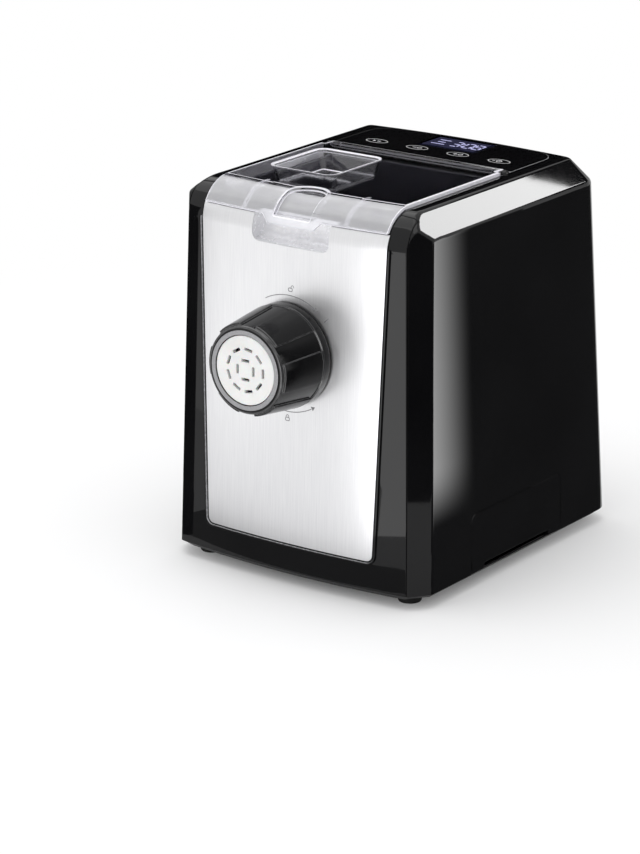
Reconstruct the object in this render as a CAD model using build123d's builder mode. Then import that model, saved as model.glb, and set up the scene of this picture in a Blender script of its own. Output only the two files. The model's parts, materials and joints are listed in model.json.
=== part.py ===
"""Electric pasta machine: mixing chamber under a clear lid, screw extruder in front, geared motor inside."""
import os
from math import acos, ceil, cos, hypot, pi, radians, sin, sqrt, tan

from build123d import *

os.makedirs("parts", exist_ok=True)

# Overall form, millimetres; the front faces -Y and the feet stand on Z = 0
body_width = 230.0
body_depth = 270.0
body_height = 280.0
foot_height = 6.0
plinth_height = 5.0
nut_reach = 56.0
side_taper = 6.5
front_lean = 6.5
back_lean = 20.5
bow_radius = 800.0
rear_bow = 8.5
corner_facet_width = 12.0
corner_facet_depth = 15.5
rear_corner_radius = 21.0
top_facet_width = 16.0
top_facet_drop = 17.5
front_round = 28.0
edge_round = 6.0
least_round = 1.5
wall = 3.0

# Gaps and overruns shared by the whole machine
seam_gap = 0.25
fit_gap = 0.3
running_gap = 0.05
seat_gap = 0.02
overrun = 30.0

# Front bezel, steel panel and what backs it
bezel_depth = 20.0
panel_low_z = 33.0
panel_top_drop = 14.5
panel_low_inset = 40.6
panel_high_inset = 32.8
panel_thickness = 1.0
panel_proud = 0.5
panel_corner = 5.0
carrier_thickness = 2.4
carrier_lap = 7.0
carrier_gap = 0.1
pocket_half = 34.0
pocket_height = 19.5
pocket_depth = 15.0
pocket_wall = 1.6
pocket_corner = 6.0

# Lid
lid_inset = 34.0
lid_proud = 2.3
lid_thickness = 2.6
lid_lip_gap = 0.6
lid_tab_half = 20.0
lid_tab_drop = 6.0
lid_tab_slope = 6.0
lid_skirt_width = 2.4
lid_skirt_front = 30.0
lid_rib_x = 45.0
lid_rib_width = 1.8
lid_rib_depth = 2.4
thumb_half = 16.0
thumb_rim = 2.0
thumb_depth = 3.0
thumb_reach = 11.0
tray_inset = 9.0
tray_width = 60.0
tray_front_share = 0.264
tray_back_share = 0.824
tray_depth = 17.0
tray_wall = 2.0
tray_corner = 9.0
tray_draft = 5.0
tray_mouth_width = 40.0
tray_mouth_length = 26.0
tray_mouth_inset = 6.0
hinge_lead = 5.3
hinge_knuckle_radius = 3.3
hinge_pin_radius = 1.5
hinge_pin_length = 9.0
hinge_ear_width = 3.4
hinge_ear_radius = 2.9
hinge_notch = 9.0

# Top deck, control panel and electronics
deck_thickness = 3.0
deck_drop = 9.0
deck_front = 20.6
control_rear = 39.0
control_length = 68.0
control_corner = 19.0
control_thickness = 3.0
control_inset = 0.3
platform_wall = 3.0
window_width = 52.0
window_length = 31.0
window_inset = 3.5
board_thickness = 1.6
board_margin = 6.0
board_drop = 9.0
board_post_radius = 3.5
board_post_inset = 23.0
board_post_spread_y = 40.0
chip_size = 14.0
chip_height = 2.0
chip_inset = 18.0
chip_room = 10.5
power_board_width = 74.0
power_board_length = 40.0
power_board_inset = 63.0
power_board_gap = 3.0
power_post_height = 7.0
power_post_radius = 3.0
power_post_inset = 5.0
choke_size = 17.0
choke_height = 15.0
capacitor_radius = 6.0
capacitor_height = 14.0
capacitor_spread = 22.0

# Interlock under the lid
switch_inset = 3.95
switch_y = 44.0
switch_width = 6.4
switch_length = 20.0
switch_height = 14.0
plunger_radius = 1.2
plunger_travel = 3.0
plunger_grip = 4.0
plunger_lift_room = 0.4

# Mixing chamber and extruder
axis_share = 0.595
trough_radius = 54.0
chamber_wall = 2.5
chamber_side_room = 7.8
chamber_front = 24.0
chamber_lead = 11.0
flange_width = 2.2
flange_end = 1.5
flange_thickness = 2.4
seal_radius = 13.0
seal_length = 6.0
barrel_radius = 29.4
barrel_bore = 25.0
barrel_reach = 43.0
barrel_flange_radius = 40.0
barrel_flange = 4.0
barrel_hole_gap = 1.2

# Die and locking nut
nut_rear_radius = 38.6
nut_front_radius = 32.6
nut_panel_gap = 0.4
nut_skirt = 7.0
nut_skirt_step = 1.2
nut_bore_gap = 0.35
nut_edge = 2.2
pad_count = 6
pad_angle = 36.0
pad_first_angle = 16.0
pad_height = 1.7
pad_end_inset = 1.5
ring_outer = 31.6
ring_inner = 26.4
ring_thickness = 1.4
die_face_radius = 25.6
die_flange_radius = 29.4
die_flange = 4.4
die_hollow_radius = 21.5
die_web = 4.0
die_slot_length = 7.0
die_slot_width = 2.2
die_outer_ring = 15.6
die_outer_count = 9
die_inner_ring = 7.0
die_inner_count = 4

# Screw and mixing paddle
screw_radius = 24.4
screw_core = 9.5
screw_pitch = 27.0
screw_front_gap = 3.0
screw_back = 62.0
flight_angle = 62.0
flight_step = 24.0
hub_radius = 11.0
hub_end_gap = 4.0
socket_depth = 19.0
socket_flats = 12.0
paddle_wall = 2.6
paddle_gap = 0.15
paddle_reach = 47.0
paddle_bar = 6.0
paddle_thickness = 5.0
paddle_count = 3
paddle_first_angle = 62.0
paddle_length = 34.0

# Gear train, motor and gearbox
shaft_radius = 7.0
gearbox_room = 11.0
gearbox_floor = 4.0
gearbox_wall = 3.0
gear_side_gap = 3.0
slow_face = 13.0
fast_face = 8.0
stage_gap = 2.5
slow_module = 2.0
slow_pinion_teeth = 14
slow_gear_teeth = 49
slow_direction = -100.0
fast_module = 1.25
fast_pinion_teeth = 14
fast_gear_teeth = 60
fast_direction = -130.0
pressure_angle = 20.0
addendum_share = 0.8
dedendum_share = 1.1
tooth_thickness_share = 0.90
gear_room = 5.0
web_hole_count = 5
web_hole_share = 0.2
web_ring_share = 0.62
counter_radius = 5.0
bearing_wall = 5.0
bearing_width = 6.0
cover_thickness = 4.0
motor_plate_radius = 30.0
motor_screw_ring = 22.0
motor_screw_angle = 30.0
motor_hole_gap = 1.5
gearbox_leg_width = 46.0
leg_thickness = 6.0
leg_screw_spread = 30.0
boss_radius = 4.5
boss_depth = 10.0
output_boss_angles = (20.0, 90.0, 160.0)
counter_boss_angle = -39.0
motor_boss_angle = 215.0
saddle_lead = 23.0
saddle_length = 10.0
saddle_half = 22.0
saddle_depth = 20.0
barrel_screw_ring = 35.0
barrel_screw_count = 4
barrel_screw_angle = 45.0
spotface_depth = 1.2
screw_end_room = 0.3
leg_flange = 14.0
leg_flange_thickness = 4.0
motor_radius = 36.0
motor_length = 88.0
motor_wall = 2.0
motor_end = 5.0
motor_shaft_radius = 4.0
motor_tail = 14.0
motor_slot_count = 8
motor_slot_length = 26.0
motor_slot_width = 5.0
rotor_gap = 1.0
stator_wall = 9.0
stator_inset = 14.0
rotor_length = 46.0
fan_radius = 30.0
fan_hub_radius = 9.0
fan_width = 9.0
fan_blade = 2.2
fan_blade_count = 9
fan_gap = 3.0

# Drawer in the right side
drawer_front = 67.0
drawer_length = 122.0
drawer_height = 46.0
drawer_tray_depth = 96.0
drawer_wall = 2.2
drawer_side_inset = 5.0
drawer_floor_gap = 2.6
drawer_top_inset = 5.0
drawer_corner = 6.0
scoop_inset = 17.0
scoop_height = 20.5
scoop_depth = 12.0
runner_width = 4.0
runner_lip = 2.2
runner_lip_height = 2.0
runner_length = 86.0

# Base pan, feet, rear cover and small fasteners
plinth_inset = 1.0
plinth_draft = 6.0
pan_floor = 3.0
upstand_height = 9.0
upstand_wall = 2.4
foot_radius = 10.0
foot_top_radius = 8.5
foot_inset_x = 24.0
foot_inset_front = 22.0
foot_inset_back = 30.0
cover_side_inset = 37.0
cover_low = 33.0
cover_top_drop = 61.0
cover_corner = 8.0
cover_plate = 2.4
cover_lap = 9.0
vent_rows = 2
vent_columns = 13
vent_width = 4.0
vent_height = 34.0
vent_pitch = 9.0
vent_row_pitch = 46.0
vent_centre_share = 0.62
gland_inset = 22.0
gland_height = 24.0
gland_radius = 8.0
gland_flange = 11.0
gland_length = 14.0
gland_seat = 8.0
gland_proud = 1.0
gland_bore = 3.6
screw_head_radius = 3.0
screw_head_height = 2.0
screw_shank_radius = 1.5
screw_shank_gap = 0.1

# Values worked out from the driving sizes
front_y = (nut_reach - body_depth) / 2
back_y = front_y + body_depth
body_edge_z = foot_height + plinth_height
rim_z = body_edge_z + body_height
axis_z = body_edge_z + body_height * axis_share
low_half = body_width / 2
rear_corner_y = back_y - rear_bow
cheek_half = low_half - corner_facet_width
bow_rise = bow_radius - sqrt(bow_radius**2 - cheek_half**2)
bow_axis_y = front_y - bow_rise + bow_radius
bow_axis = Axis((0, bow_axis_y, 0), (0, 0, 1))
drive_axis = Axis((0, 0, axis_z), (0, 1, 0))
lid_half = low_half - lid_inset
lid_top = rim_z + lid_proud
deck_top = rim_z - deck_drop
control_half = lid_half
control_back = body_depth - control_rear
control_front = control_back - control_length
hinge_back = control_front - hinge_lead
hinge_y = front_y + hinge_back
hinge_z = lid_top - hinge_knuckle_radius
lid_bend_end = front_lean + front_round
tray_left = -lid_half + tray_inset
tray_right = tray_left + tray_width
tray_front = lid_bend_end + (hinge_back - lid_bend_end) * tray_front_share
tray_back = lid_bend_end + (hinge_back - lid_bend_end) * tray_back_share
panel_high_z = rim_z - panel_top_drop
panel_low_half = low_half - panel_low_inset
panel_high_half = low_half - panel_high_inset
chamber_half = lid_half - chamber_side_room
chamber_back = control_front - chamber_lead
gear_plane_start = chamber_back + gearbox_room
saddle_y = gear_plane_start - saddle_lead
nut_front_y = front_y - nut_reach
barrel_end_y = front_y - barrel_reach


def front_mid_y(z):
    """Y of the front face on the centre line at height z."""
    return front_y - bow_rise + front_lean * (z - body_edge_z) / body_height


def half_width(z):
    """Half the body's width at height z."""
    return low_half - side_taper * (z - body_edge_z) / body_height


def back_mid_y(z):
    """Y of the bowed rear face on the centre line at height z."""
    return back_y - back_lean * (z - body_edge_z) / body_height


def rear_drop(x):
    """How far forward the bowed rear face has come at a distance x from the centre line."""
    return rear_bow * (x / low_half) ** 2


def across(y):
    """A plane that faces the front at depth y: local x is +X and local y is +Z."""
    return Plane.XZ.offset(-y)


def spoke(angle, axis_x=0.0, height=axis_z):
    """A plane through an axis along Y: local x runs outwards at the angle and local y is +Y."""
    outwards = (cos(radians(angle)), 0, sin(radians(angle)))
    sideways = (-sin(radians(angle)), 0, cos(radians(angle)))
    return Plane(origin=(axis_x, 0, height), x_dir=outwards, z_dir=sideways)


def save(builder, name):
    """Label a finished piece and write it under its node name."""
    builder.part.label = name
    export_step(builder.part, f"parts/{name}.step")


def body_outline(z, inset, shoulder):
    """The body's plan at height z, run out ahead of the front, drawn in by inset and top shoulder."""
    half = half_width(z)
    side = half - inset - shoulder
    front = front_y + front_lean * (z - body_edge_z) / body_height
    rear = back_mid_y(z) - inset - shoulder
    slope = corner_facet_depth / corner_facet_width
    facet_inset = inset * hypot(corner_facet_width, corner_facet_depth) / corner_facet_depth
    facet = half - corner_facet_width - facet_inset
    facet_end = front + (side - facet) * slope
    with BuildSketch(Plane.XY.offset(z)) as plan:
        with BuildLine():
            Polyline(
                (-side, rear - rear_drop(side)),
                (-side, facet_end),
                (-facet + overrun / slope, front - overrun),
                (facet - overrun / slope, front - overrun),
                (side, facet_end),
                (side, rear - rear_drop(side)),
            )
            ThreePointArc((side, rear - rear_drop(side)), (0, rear), (-side, rear - rear_drop(side)))
        make_face()
        fillet(plan.vertices().group_by(Axis.Y)[-1], max(rear_corner_radius - shoulder - inset, least_round))
    return plan.sketch


def front_section(depth):
    """The body's middle section, filled back to the bow's axis, drawn in behind its skin by the depth."""
    low_z = body_edge_z - overrun
    top_z = rim_z - depth
    with BuildSketch(Plane.YZ) as section:
        with BuildLine():
            Polyline(
                (front_mid_y(low_z) + depth, low_z),
                (front_mid_y(top_z) + depth, top_z),
                (bow_axis_y, top_z),
                (bow_axis_y, low_z),
                close=True,
            )
        make_face()
        fillet(section.vertices().group_by(Axis.Y)[-1].sort_by(Axis.X)[0], front_round - depth)
    return section


def body_form(inset):
    """The closed outer form of the body, drawn in by the inset on every side but the open bottom."""
    top_z = rim_z - inset
    low_z = body_edge_z - (overrun if inset else 0)
    shoulder_z = top_z - top_facet_drop
    with BuildPart() as form:
        loft([body_outline(low_z, inset, 0), body_outline(shoulder_z, inset, 0)], ruled=True)
        loft([body_outline(shoulder_z, inset, 0), body_outline(top_z, inset, top_facet_width)], ruled=True)
        add(front_section(inset).sketch)
        revolve(axis=bow_axis, mode=Mode.INTERSECT)
    return form.part


def is_facet_edge(edge):
    """Whether an edge of the outer form borders a facet: along shoulder and rim, or up a front corner."""
    spot = edge.center()
    corner_zone_end = front_y + 2 * front_round
    if edge.bounding_box().size.Z < seat_gap:
        return spot.Z > body_edge_z + wall and spot.Y > corner_zone_end
    return front_y + corner_facet_depth < spot.Y < corner_zone_end


def front_skin(outer_depth, inner_depth, low_z, high_z):
    """A ring of the skin of front and top, between two depths behind it and two heights."""
    with BuildPart() as skin:
        with BuildSketch(Plane.YZ):
            add(front_section(outer_depth).sketch_local)
            add(front_section(inner_depth).sketch_local, mode=Mode.SUBTRACT)
            with Locations((bow_axis_y - bow_radius, (low_z + high_z) / 2)):
                Rectangle(bow_radius, high_z - low_z, mode=Mode.INTERSECT)
        revolve(axis=bow_axis)
    return skin.part


def panel_half(z):
    """Half the steel panel's width at height z."""
    rise_share = (z - panel_low_z) / (panel_high_z - panel_low_z)
    return panel_low_half + (panel_high_half - panel_low_half) * rise_share


def panel_prism(margin):
    """A prism through the front whose section is the steel panel's outline grown by the margin."""
    low_z = panel_low_z - margin
    high_z = panel_high_z + margin
    with BuildPart() as prism:
        with BuildSketch(across(front_y + overrun)) as outline:
            with BuildLine():
                Polyline(
                    (-panel_half(low_z) - margin, low_z),
                    (panel_half(low_z) + margin, low_z),
                    (panel_half(high_z) + margin, high_z),
                    (-panel_half(high_z) - margin, high_z),
                    close=True,
                )
            make_face()
            fillet(outline.vertices().group_by(Axis.Y)[0], panel_corner)
        extrude(amount=2 * overrun)
    return prism.part


def bezel_zone(gap):
    """The front zone between the two corner facets, narrowed by the gap on each side."""
    rear_y = front_y + bezel_depth - gap
    with BuildPart() as zone:
        with BuildSketch(across(rear_y)):
            with BuildLine():
                Polyline(
                    (-half_width(0) + corner_facet_width + gap, 0),
                    (half_width(0) - corner_facet_width - gap, 0),
                    (half_width(rim_z) - corner_facet_width - gap, rim_z + overrun),
                    (-half_width(rim_z) + corner_facet_width + gap, rim_z + overrun),
                    close=True,
                )
            make_face()
        extrude(amount=bezel_depth + overrun)
    return zone.part


def bored_disc(radius, bore, y_start, y_end, axis_x=0.0, height=axis_z):
    """A ring about an axis along Y."""
    with BuildPart() as disc:
        with BuildSketch(across(y_end)):
            with Locations((axis_x, height)):
                Circle(radius)
                Circle(bore, mode=Mode.SUBTRACT)
        extrude(amount=y_end - y_start)
    return disc.part


sharp_form = body_form(0)
outer_form = sharp_form.fillet(edge_round, sharp_form.edges().filter_by(is_facet_edge))
inner_form = body_form(wall)
drawer_y = front_y + drawer_front
drawer_top_z = body_edge_z + drawer_height
cover_half = low_half - cover_side_inset
cover_high = rim_z - cover_top_drop
cover_mid = (cover_low + cover_high) / 2
cover_tall = cover_high - cover_low
cover_screw_x = cover_half + cover_lap / 2
cover_screw_spread = cover_tall * vent_centre_share


def drawer_opening(gap):
    """The block of the right side that the drawer front fills, drawn in by the gap."""
    with BuildPart() as block:
        with BuildSketch(Plane.YZ.offset(low_half + overrun)) as outline:
            with Locations((drawer_y + drawer_length / 2, body_edge_z + drawer_height / 2)):
                Rectangle(drawer_length - 2 * gap, drawer_height - gap - gap)
            fillet(outline.vertices().group_by(Axis.Y)[-1], drawer_corner)
        extrude(amount=-2 * overrun)
    return block.part


def control_plan(z, y_low, gap):
    """The control panel's plan from y_low to its bowed rear edge, grown by the gap."""
    half = control_half + gap
    rear_y = front_y + control_back + gap
    side_y = rear_y - rear_drop(half)
    with BuildSketch(Plane.XY.offset(z)) as plan:
        with BuildLine():
            Polyline((-half, side_y), (-half, y_low), (half, y_low), (half, side_y))
            ThreePointArc((half, side_y), (0, rear_y), (-half, side_y))
        make_face()
        fillet(plan.vertices().group_by(Axis.Y)[-1], control_corner)
    return plan.sketch


def cover_prism(margin):
    """A prism through the back whose section is the rear cover's outline grown by the margin."""
    with BuildPart() as prism:
        with BuildSketch(across(back_y + overrun)):
            with Locations((0, cover_mid)):
                RectangleRounded(2 * (cover_half + margin), cover_tall + 2 * margin, cover_corner + margin)
        extrude(amount=3 * overrun)
    return prism.part


def cover_screw_spots():
    """Where the rear cover's four screws go through the housing, in X and Z."""
    return [
        (side * cover_screw_x, cover_mid + level * cover_screw_spread / 2)
        for side in (-1, 1)
        for level in (-1, 1)
    ]


def cover_seat_y(x, z):
    """Y of the flat seat that a rear cover screw's head rests on."""
    return back_mid_y(z) - rear_drop(x) - spotface_depth


# Housing: sides, top rims, corner facets and rear wall in one moulding
with BuildPart() as housing:
    add(outer_form)
    add(inner_form, mode=Mode.SUBTRACT)
    add(bezel_zone(0), mode=Mode.SUBTRACT)
    add(control_plan(rim_z + overrun, front_y - overrun, seam_gap))
    extrude(amount=-overrun - rim_z + deck_top, mode=Mode.SUBTRACT)
    add(cover_prism(0), mode=Mode.SUBTRACT)
    with BuildSketch(across(back_y + overrun)):
        with Locations(*cover_screw_spots()):
            Circle(screw_shank_radius + screw_shank_gap)
    extrude(amount=3 * overrun, mode=Mode.SUBTRACT)
    for spot_x, spot_z in cover_screw_spots():
        with BuildSketch(across(cover_seat_y(spot_x, spot_z))):
            with Locations((spot_x, spot_z)):
                Circle(screw_head_radius + screw_shank_gap)
        extrude(amount=-overrun, mode=Mode.SUBTRACT)
    add(drawer_opening(0), mode=Mode.SUBTRACT)
save(housing, "housing")

# Front bezel: glossy frame round the steel panel
with BuildPart() as front_bezel:
    add(outer_form)
    add(inner_form, mode=Mode.SUBTRACT)
    add(bezel_zone(seam_gap), mode=Mode.INTERSECT)
    add(panel_prism(seam_gap), mode=Mode.SUBTRACT)
    with BuildSketch(across(front_y + bezel_depth + overrun)):
        with Locations((0, rim_z)):
            Rectangle(2 * (control_half + seam_gap), 2 * (rim_z - panel_high_z))
    extrude(amount=bezel_depth + 2 * overrun, mode=Mode.SUBTRACT)
save(front_bezel, "front_bezel")

# Steel front panel with the barrel hole and the notch over the finger pocket
pocket_low_z = panel_high_z - pocket_height
with BuildPart() as front_panel:
    add(front_skin(-panel_proud, panel_thickness - panel_proud, panel_low_z - overrun, panel_high_z))
    add(panel_prism(0), mode=Mode.INTERSECT)
    with BuildSketch(across(front_y + overrun)):
        with Locations((0, axis_z)):
            Circle(barrel_radius + barrel_hole_gap)
    extrude(amount=2 * overrun, mode=Mode.SUBTRACT)
    with BuildSketch(across(front_y + overrun)) as notch:
        with Locations((0, panel_high_z)):
            Rectangle(2 * pocket_half, 2 * pocket_height)
        fillet(notch.vertices().group_by(Axis.Y)[0], pocket_corner)
    extrude(amount=2 * overrun, mode=Mode.SUBTRACT)
save(front_panel, "front_panel")

# Panel carrier: the moulded plate behind the steel sheet and the bezel's window edge
carrier_front = wall + seam_gap
with BuildPart() as panel_carrier:
    add(front_skin(carrier_front, carrier_front + carrier_thickness, panel_low_z - carrier_lap, panel_high_z))
    add(panel_prism(carrier_lap), mode=Mode.INTERSECT)
    pad_front = panel_thickness - panel_proud + carrier_gap
    carrier_pad = front_skin(pad_front, carrier_front, panel_low_z, panel_high_z)
    add(carrier_pad.intersect(panel_prism(-carrier_lap)))
    with BuildSketch(across(front_y + overrun)):
        with Locations((0, axis_z)):
            Circle(barrel_radius + barrel_hole_gap)
    extrude(amount=2 * overrun, mode=Mode.SUBTRACT)
    with BuildSketch(across(front_y + overrun)):
        with Locations((0, panel_high_z)):
            Rectangle(2 * (pocket_half + pocket_wall + fit_gap), 2 * (pocket_height + pocket_wall + fit_gap))
    extrude(amount=2 * overrun, mode=Mode.SUBTRACT)
save(panel_carrier, "panel_carrier")

# Finger pocket: a scooped cup under the lid's tab
pocket_face_y = front_mid_y(panel_high_z)
with BuildPart() as finger_pocket:
    with BuildSketch(Plane.YZ.offset(pocket_half + pocket_wall)) as cup_section:
        with BuildLine():
            Polyline(
                (pocket_face_y - pocket_depth, pocket_low_z - pocket_wall),
                (pocket_face_y + pocket_depth + pocket_wall, pocket_low_z - pocket_wall),
                (pocket_face_y + pocket_depth + pocket_wall, panel_high_z),
                (pocket_face_y - pocket_depth, panel_high_z),
                close=True,
            )
        make_face()
        fillet(cup_section.vertices().group_by(Axis.Y)[0].sort_by(Axis.X)[-1], pocket_depth - pocket_wall)
    extrude(amount=-2 * (pocket_half + pocket_wall))
    with BuildSketch(Plane.YZ.offset(pocket_half)) as scoop_section:
        with BuildLine():
            Polyline(
                (pocket_face_y - overrun, pocket_low_z),
                (pocket_face_y + pocket_depth, pocket_low_z),
                (pocket_face_y + pocket_depth, panel_high_z + overrun),
                (pocket_face_y - overrun, panel_high_z + overrun),
                close=True,
            )
        make_face()
        scoop_corner = scoop_section.vertices().group_by(Axis.Y)[0].sort_by(Axis.X)[-1]
        fillet(scoop_corner, pocket_depth - 2 * pocket_wall)
    extrude(amount=-2 * pocket_half, mode=Mode.SUBTRACT)
    pocket_behind = panel_thickness - panel_proud + seat_gap
    ahead_of_sheet = front_skin(-overrun, pocket_behind, pocket_low_z - overrun, panel_high_z + overrun)
    add(ahead_of_sheet, mode=Mode.SUBTRACT)
save(finger_pocket, "finger_pocket")

# Rear cover: vented plate with an inner flange, following the bowed back
flange_outer = inner_form.moved(Location((0, -seam_gap, 0)))
flange_inner = inner_form.moved(Location((0, -seam_gap - cover_plate, 0)))
gland_x = -cover_half + gland_inset
gland_z = cover_low + gland_height
with BuildPart() as rear_cover:
    add(outer_form)
    add(flange_outer, mode=Mode.SUBTRACT)
    add(cover_prism(-seam_gap), mode=Mode.INTERSECT)
    add(flange_outer.intersect(cover_prism(cover_lap)))
    add(flange_inner, mode=Mode.SUBTRACT)
    with BuildSketch(across(back_y + overrun)):
        with Locations((0, cover_low + cover_tall * vent_centre_share)):
            with GridLocations(vent_pitch, vent_row_pitch, vent_columns, vent_rows):
                Rectangle(vent_width, vent_height)
        with Locations((gland_x, gland_z)):
            Circle(gland_radius + seat_gap)
        with Locations(*cover_screw_spots()):
            Circle(screw_shank_radius + screw_shank_gap)
    extrude(amount=3 * overrun, mode=Mode.SUBTRACT)
save(rear_cover, "rear_cover")

# Cord gland: the bush in the rear cover where the mains lead goes in, with its flange inside
gland_face_y = back_mid_y(gland_z) - rear_drop(gland_x)
with BuildPart() as cord_gland:
    gland_end_y = gland_face_y - gland_length
    add(bored_disc(gland_radius, gland_bore, gland_end_y, gland_face_y + gland_proud, gland_x, gland_z))
    add(bored_disc(gland_flange, gland_bore, gland_end_y, gland_face_y - gland_seat, gland_x, gland_z))
save(cord_gland, "cord_gland")


def plinth_plan(z, inset):
    """The base pan's plan: the body's lower outline with its bowed front, drawn in."""
    half = low_half - inset
    y_front = front_y + inset
    y_back = back_y - inset - rear_drop(half)
    facet = half - corner_facet_width
    with BuildSketch(Plane.XY.offset(z)) as plan:
        with BuildLine():
            ThreePointArc((-facet, y_front), (0, y_front - bow_rise), (facet, y_front))
            Polyline((facet, y_front), (half, y_front + corner_facet_depth), (half, y_back))
            ThreePointArc((half, y_back), (0, back_y - inset), (-half, y_back))
            Polyline((-half, y_back), (-half, y_front + corner_facet_depth), (-facet, y_front))
        make_face()
        fillet(plan.vertices().group_by(Axis.Y)[-1], rear_corner_radius - inset)
    return plan.sketch


# Base pan: tapered plinth, floor, and an upstand inside the housing with the drawer's gap in it
foot_spots = [
    (-low_half + foot_inset_x, front_y + foot_inset_front),
    (low_half - foot_inset_x, front_y + foot_inset_front),
    (-low_half + foot_inset_x, rear_corner_y - foot_inset_back),
    (low_half - foot_inset_x, rear_corner_y - foot_inset_back),
]
pan_floor_z = foot_height + pan_floor
upstand_inset = wall + fit_gap + back_lean * upstand_height / body_height
power_board_x = -low_half + power_board_inset
motor_front = gear_plane_start - motor_length - motor_tail
power_board_y = motor_front - power_board_gap - power_board_length / 2
power_spot_x = power_board_width / 2 - power_post_inset
power_spot_y = power_board_length / 2 - power_post_inset
power_board_z = pan_floor_z + power_post_height
slow_distance = slow_module * (slow_pinion_teeth + slow_gear_teeth) / 2
fast_distance = fast_module * (fast_pinion_teeth + fast_gear_teeth) / 2
counter_x = slow_distance * cos(radians(slow_direction))
counter_z = axis_z + slow_distance * sin(radians(slow_direction))
motor_x = counter_x + fast_distance * cos(radians(fast_direction))
motor_z = counter_z + fast_distance * sin(radians(fast_direction))
gear_floor_y = front_y + gear_plane_start
leg_screw_y = gear_floor_y + leg_thickness + leg_flange / 2
leg_screw_spots = [(motor_x + side * leg_screw_spread / 2, leg_screw_y) for side in (-1, 1)]
with BuildPart() as base_pan:
    loft(
        [plinth_plan(foot_height, plinth_inset + plinth_draft), plinth_plan(body_edge_z, plinth_inset)],
        ruled=True,
    )
    add(plinth_plan(body_edge_z, upstand_inset))
    extrude(amount=upstand_height)
    add(plinth_plan(pan_floor_z, upstand_inset + upstand_wall))
    extrude(amount=plinth_height + upstand_height, mode=Mode.SUBTRACT)
    with BuildSketch(Plane.YZ.offset(low_half + overrun)):
        with Locations((drawer_y + drawer_length / 2, body_edge_z + overrun / 2)):
            Rectangle(drawer_length + 2 * fit_gap, overrun)
    extrude(amount=-2 * overrun, mode=Mode.SUBTRACT)
    with BuildSketch(Plane.XY.offset(pan_floor_z)):
        with Locations((power_board_x, front_y + power_board_y)):
            with GridLocations(2 * power_spot_x, 2 * power_spot_y, 2, 2):
                Circle(power_post_radius)
    extrude(amount=power_post_height)
    with BuildSketch(Plane.XY):
        with Locations(*leg_screw_spots):
            Circle(screw_shank_radius + screw_shank_gap)
    extrude(amount=pan_floor_z, mode=Mode.SUBTRACT)
save(base_pan, "base_pan")

# Feet: four tapered rubber pads under the pan
with BuildPart() as feet:
    for foot_x, foot_y in foot_spots:
        with BuildSketch(Plane.XY):
            with Locations((foot_x, foot_y)):
                Circle(foot_top_radius)
        with BuildSketch(Plane.XY.offset(foot_height)):
            with Locations((foot_x, foot_y)):
                Circle(foot_radius)
        loft()
save(feet, "feet")

# Accessory drawer: flush front with a finger scoop under its edge, and a tray behind it
tray_z = pan_floor_z + drawer_floor_gap
tray_top_z = drawer_top_z - drawer_top_inset
tray_half = drawer_length / 2 - drawer_side_inset
tray_mid_y = drawer_y + drawer_length / 2
tray_outer_x = low_half - wall / 2
tray_inner_x = tray_outer_x - drawer_tray_depth
hollow_x = low_half - scoop_depth - drawer_wall
shelf_x = half_width(drawer_top_z) - wall
scoop_half = drawer_length / 2 - scoop_inset
with BuildPart() as drawer:
    add(outer_form)
    add(inner_form, mode=Mode.SUBTRACT)
    add(drawer_opening(fit_gap), mode=Mode.INTERSECT)
    with BuildSketch(Plane.XY.offset(tray_z)):
        with Locations((tray_inner_x + drawer_tray_depth / 2, tray_mid_y)):
            Rectangle(drawer_tray_depth, 2 * tray_half)
    extrude(amount=tray_top_z - tray_z)
    with BuildSketch(Plane.XY.offset(tray_z + drawer_wall)):
        with Locations(((tray_inner_x + drawer_wall + hollow_x) / 2, tray_mid_y)):
            Rectangle(hollow_x - tray_inner_x - drawer_wall, 2 * (tray_half - drawer_wall))
    extrude(amount=drawer_height, mode=Mode.SUBTRACT)
    with BuildSketch(Plane.XY.offset(body_edge_z + scoop_height + drawer_wall)):
        with Locations((shelf_x - scoop_depth, tray_mid_y)):
            Rectangle(2 * scoop_depth, 2 * (tray_half - drawer_wall))
    extrude(amount=drawer_height, mode=Mode.SUBTRACT)
    with BuildSketch(across(tray_mid_y + scoop_half)):
        scoop_low_x = half_width(body_edge_z)
        scoop_high_z = body_edge_z + scoop_height
        with BuildLine():
            Polyline(
                (scoop_low_x - scoop_depth, body_edge_z - overrun),
                (scoop_low_x + overrun, body_edge_z - overrun),
                (scoop_low_x + overrun, scoop_high_z),
                (scoop_low_x - wall, scoop_high_z),
            )
            RadiusArc(
                (scoop_low_x - wall, scoop_high_z),
                (scoop_low_x - scoop_depth, body_edge_z),
                -scoop_height - scoop_depth,
            )
            Line((scoop_low_x - scoop_depth, body_edge_z), (scoop_low_x - scoop_depth, body_edge_z - overrun))
        make_face()
    extrude(amount=2 * scoop_half, mode=Mode.SUBTRACT)
save(drawer, "drawer")

# Drawer runners: two channels on the pan that hold the tray's lower edges
runner_gap_y = tray_half + fit_gap
with BuildPart() as drawer_runners:
    for side in (-1, 1):
        with BuildSketch(Plane.YZ.offset(tray_inner_x)):
            with BuildLine():
                inner_y = tray_mid_y + side * runner_gap_y
                outer_y = inner_y + side * runner_width
                lip_y = inner_y - side * runner_lip
                Polyline(
                    (inner_y, tray_z - fit_gap),
                    (inner_y, tray_top_z + fit_gap),
                    (lip_y, tray_top_z + fit_gap),
                    (lip_y, tray_top_z + fit_gap + runner_lip_height),
                    (outer_y, tray_top_z + fit_gap + runner_lip_height),
                    (outer_y, pan_floor_z),
                    (lip_y, pan_floor_z),
                    (lip_y, tray_z - fit_gap),
                    close=True,
                )
            make_face()
        extrude(amount=runner_length)
save(drawer_runners, "drawer_runners")

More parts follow.
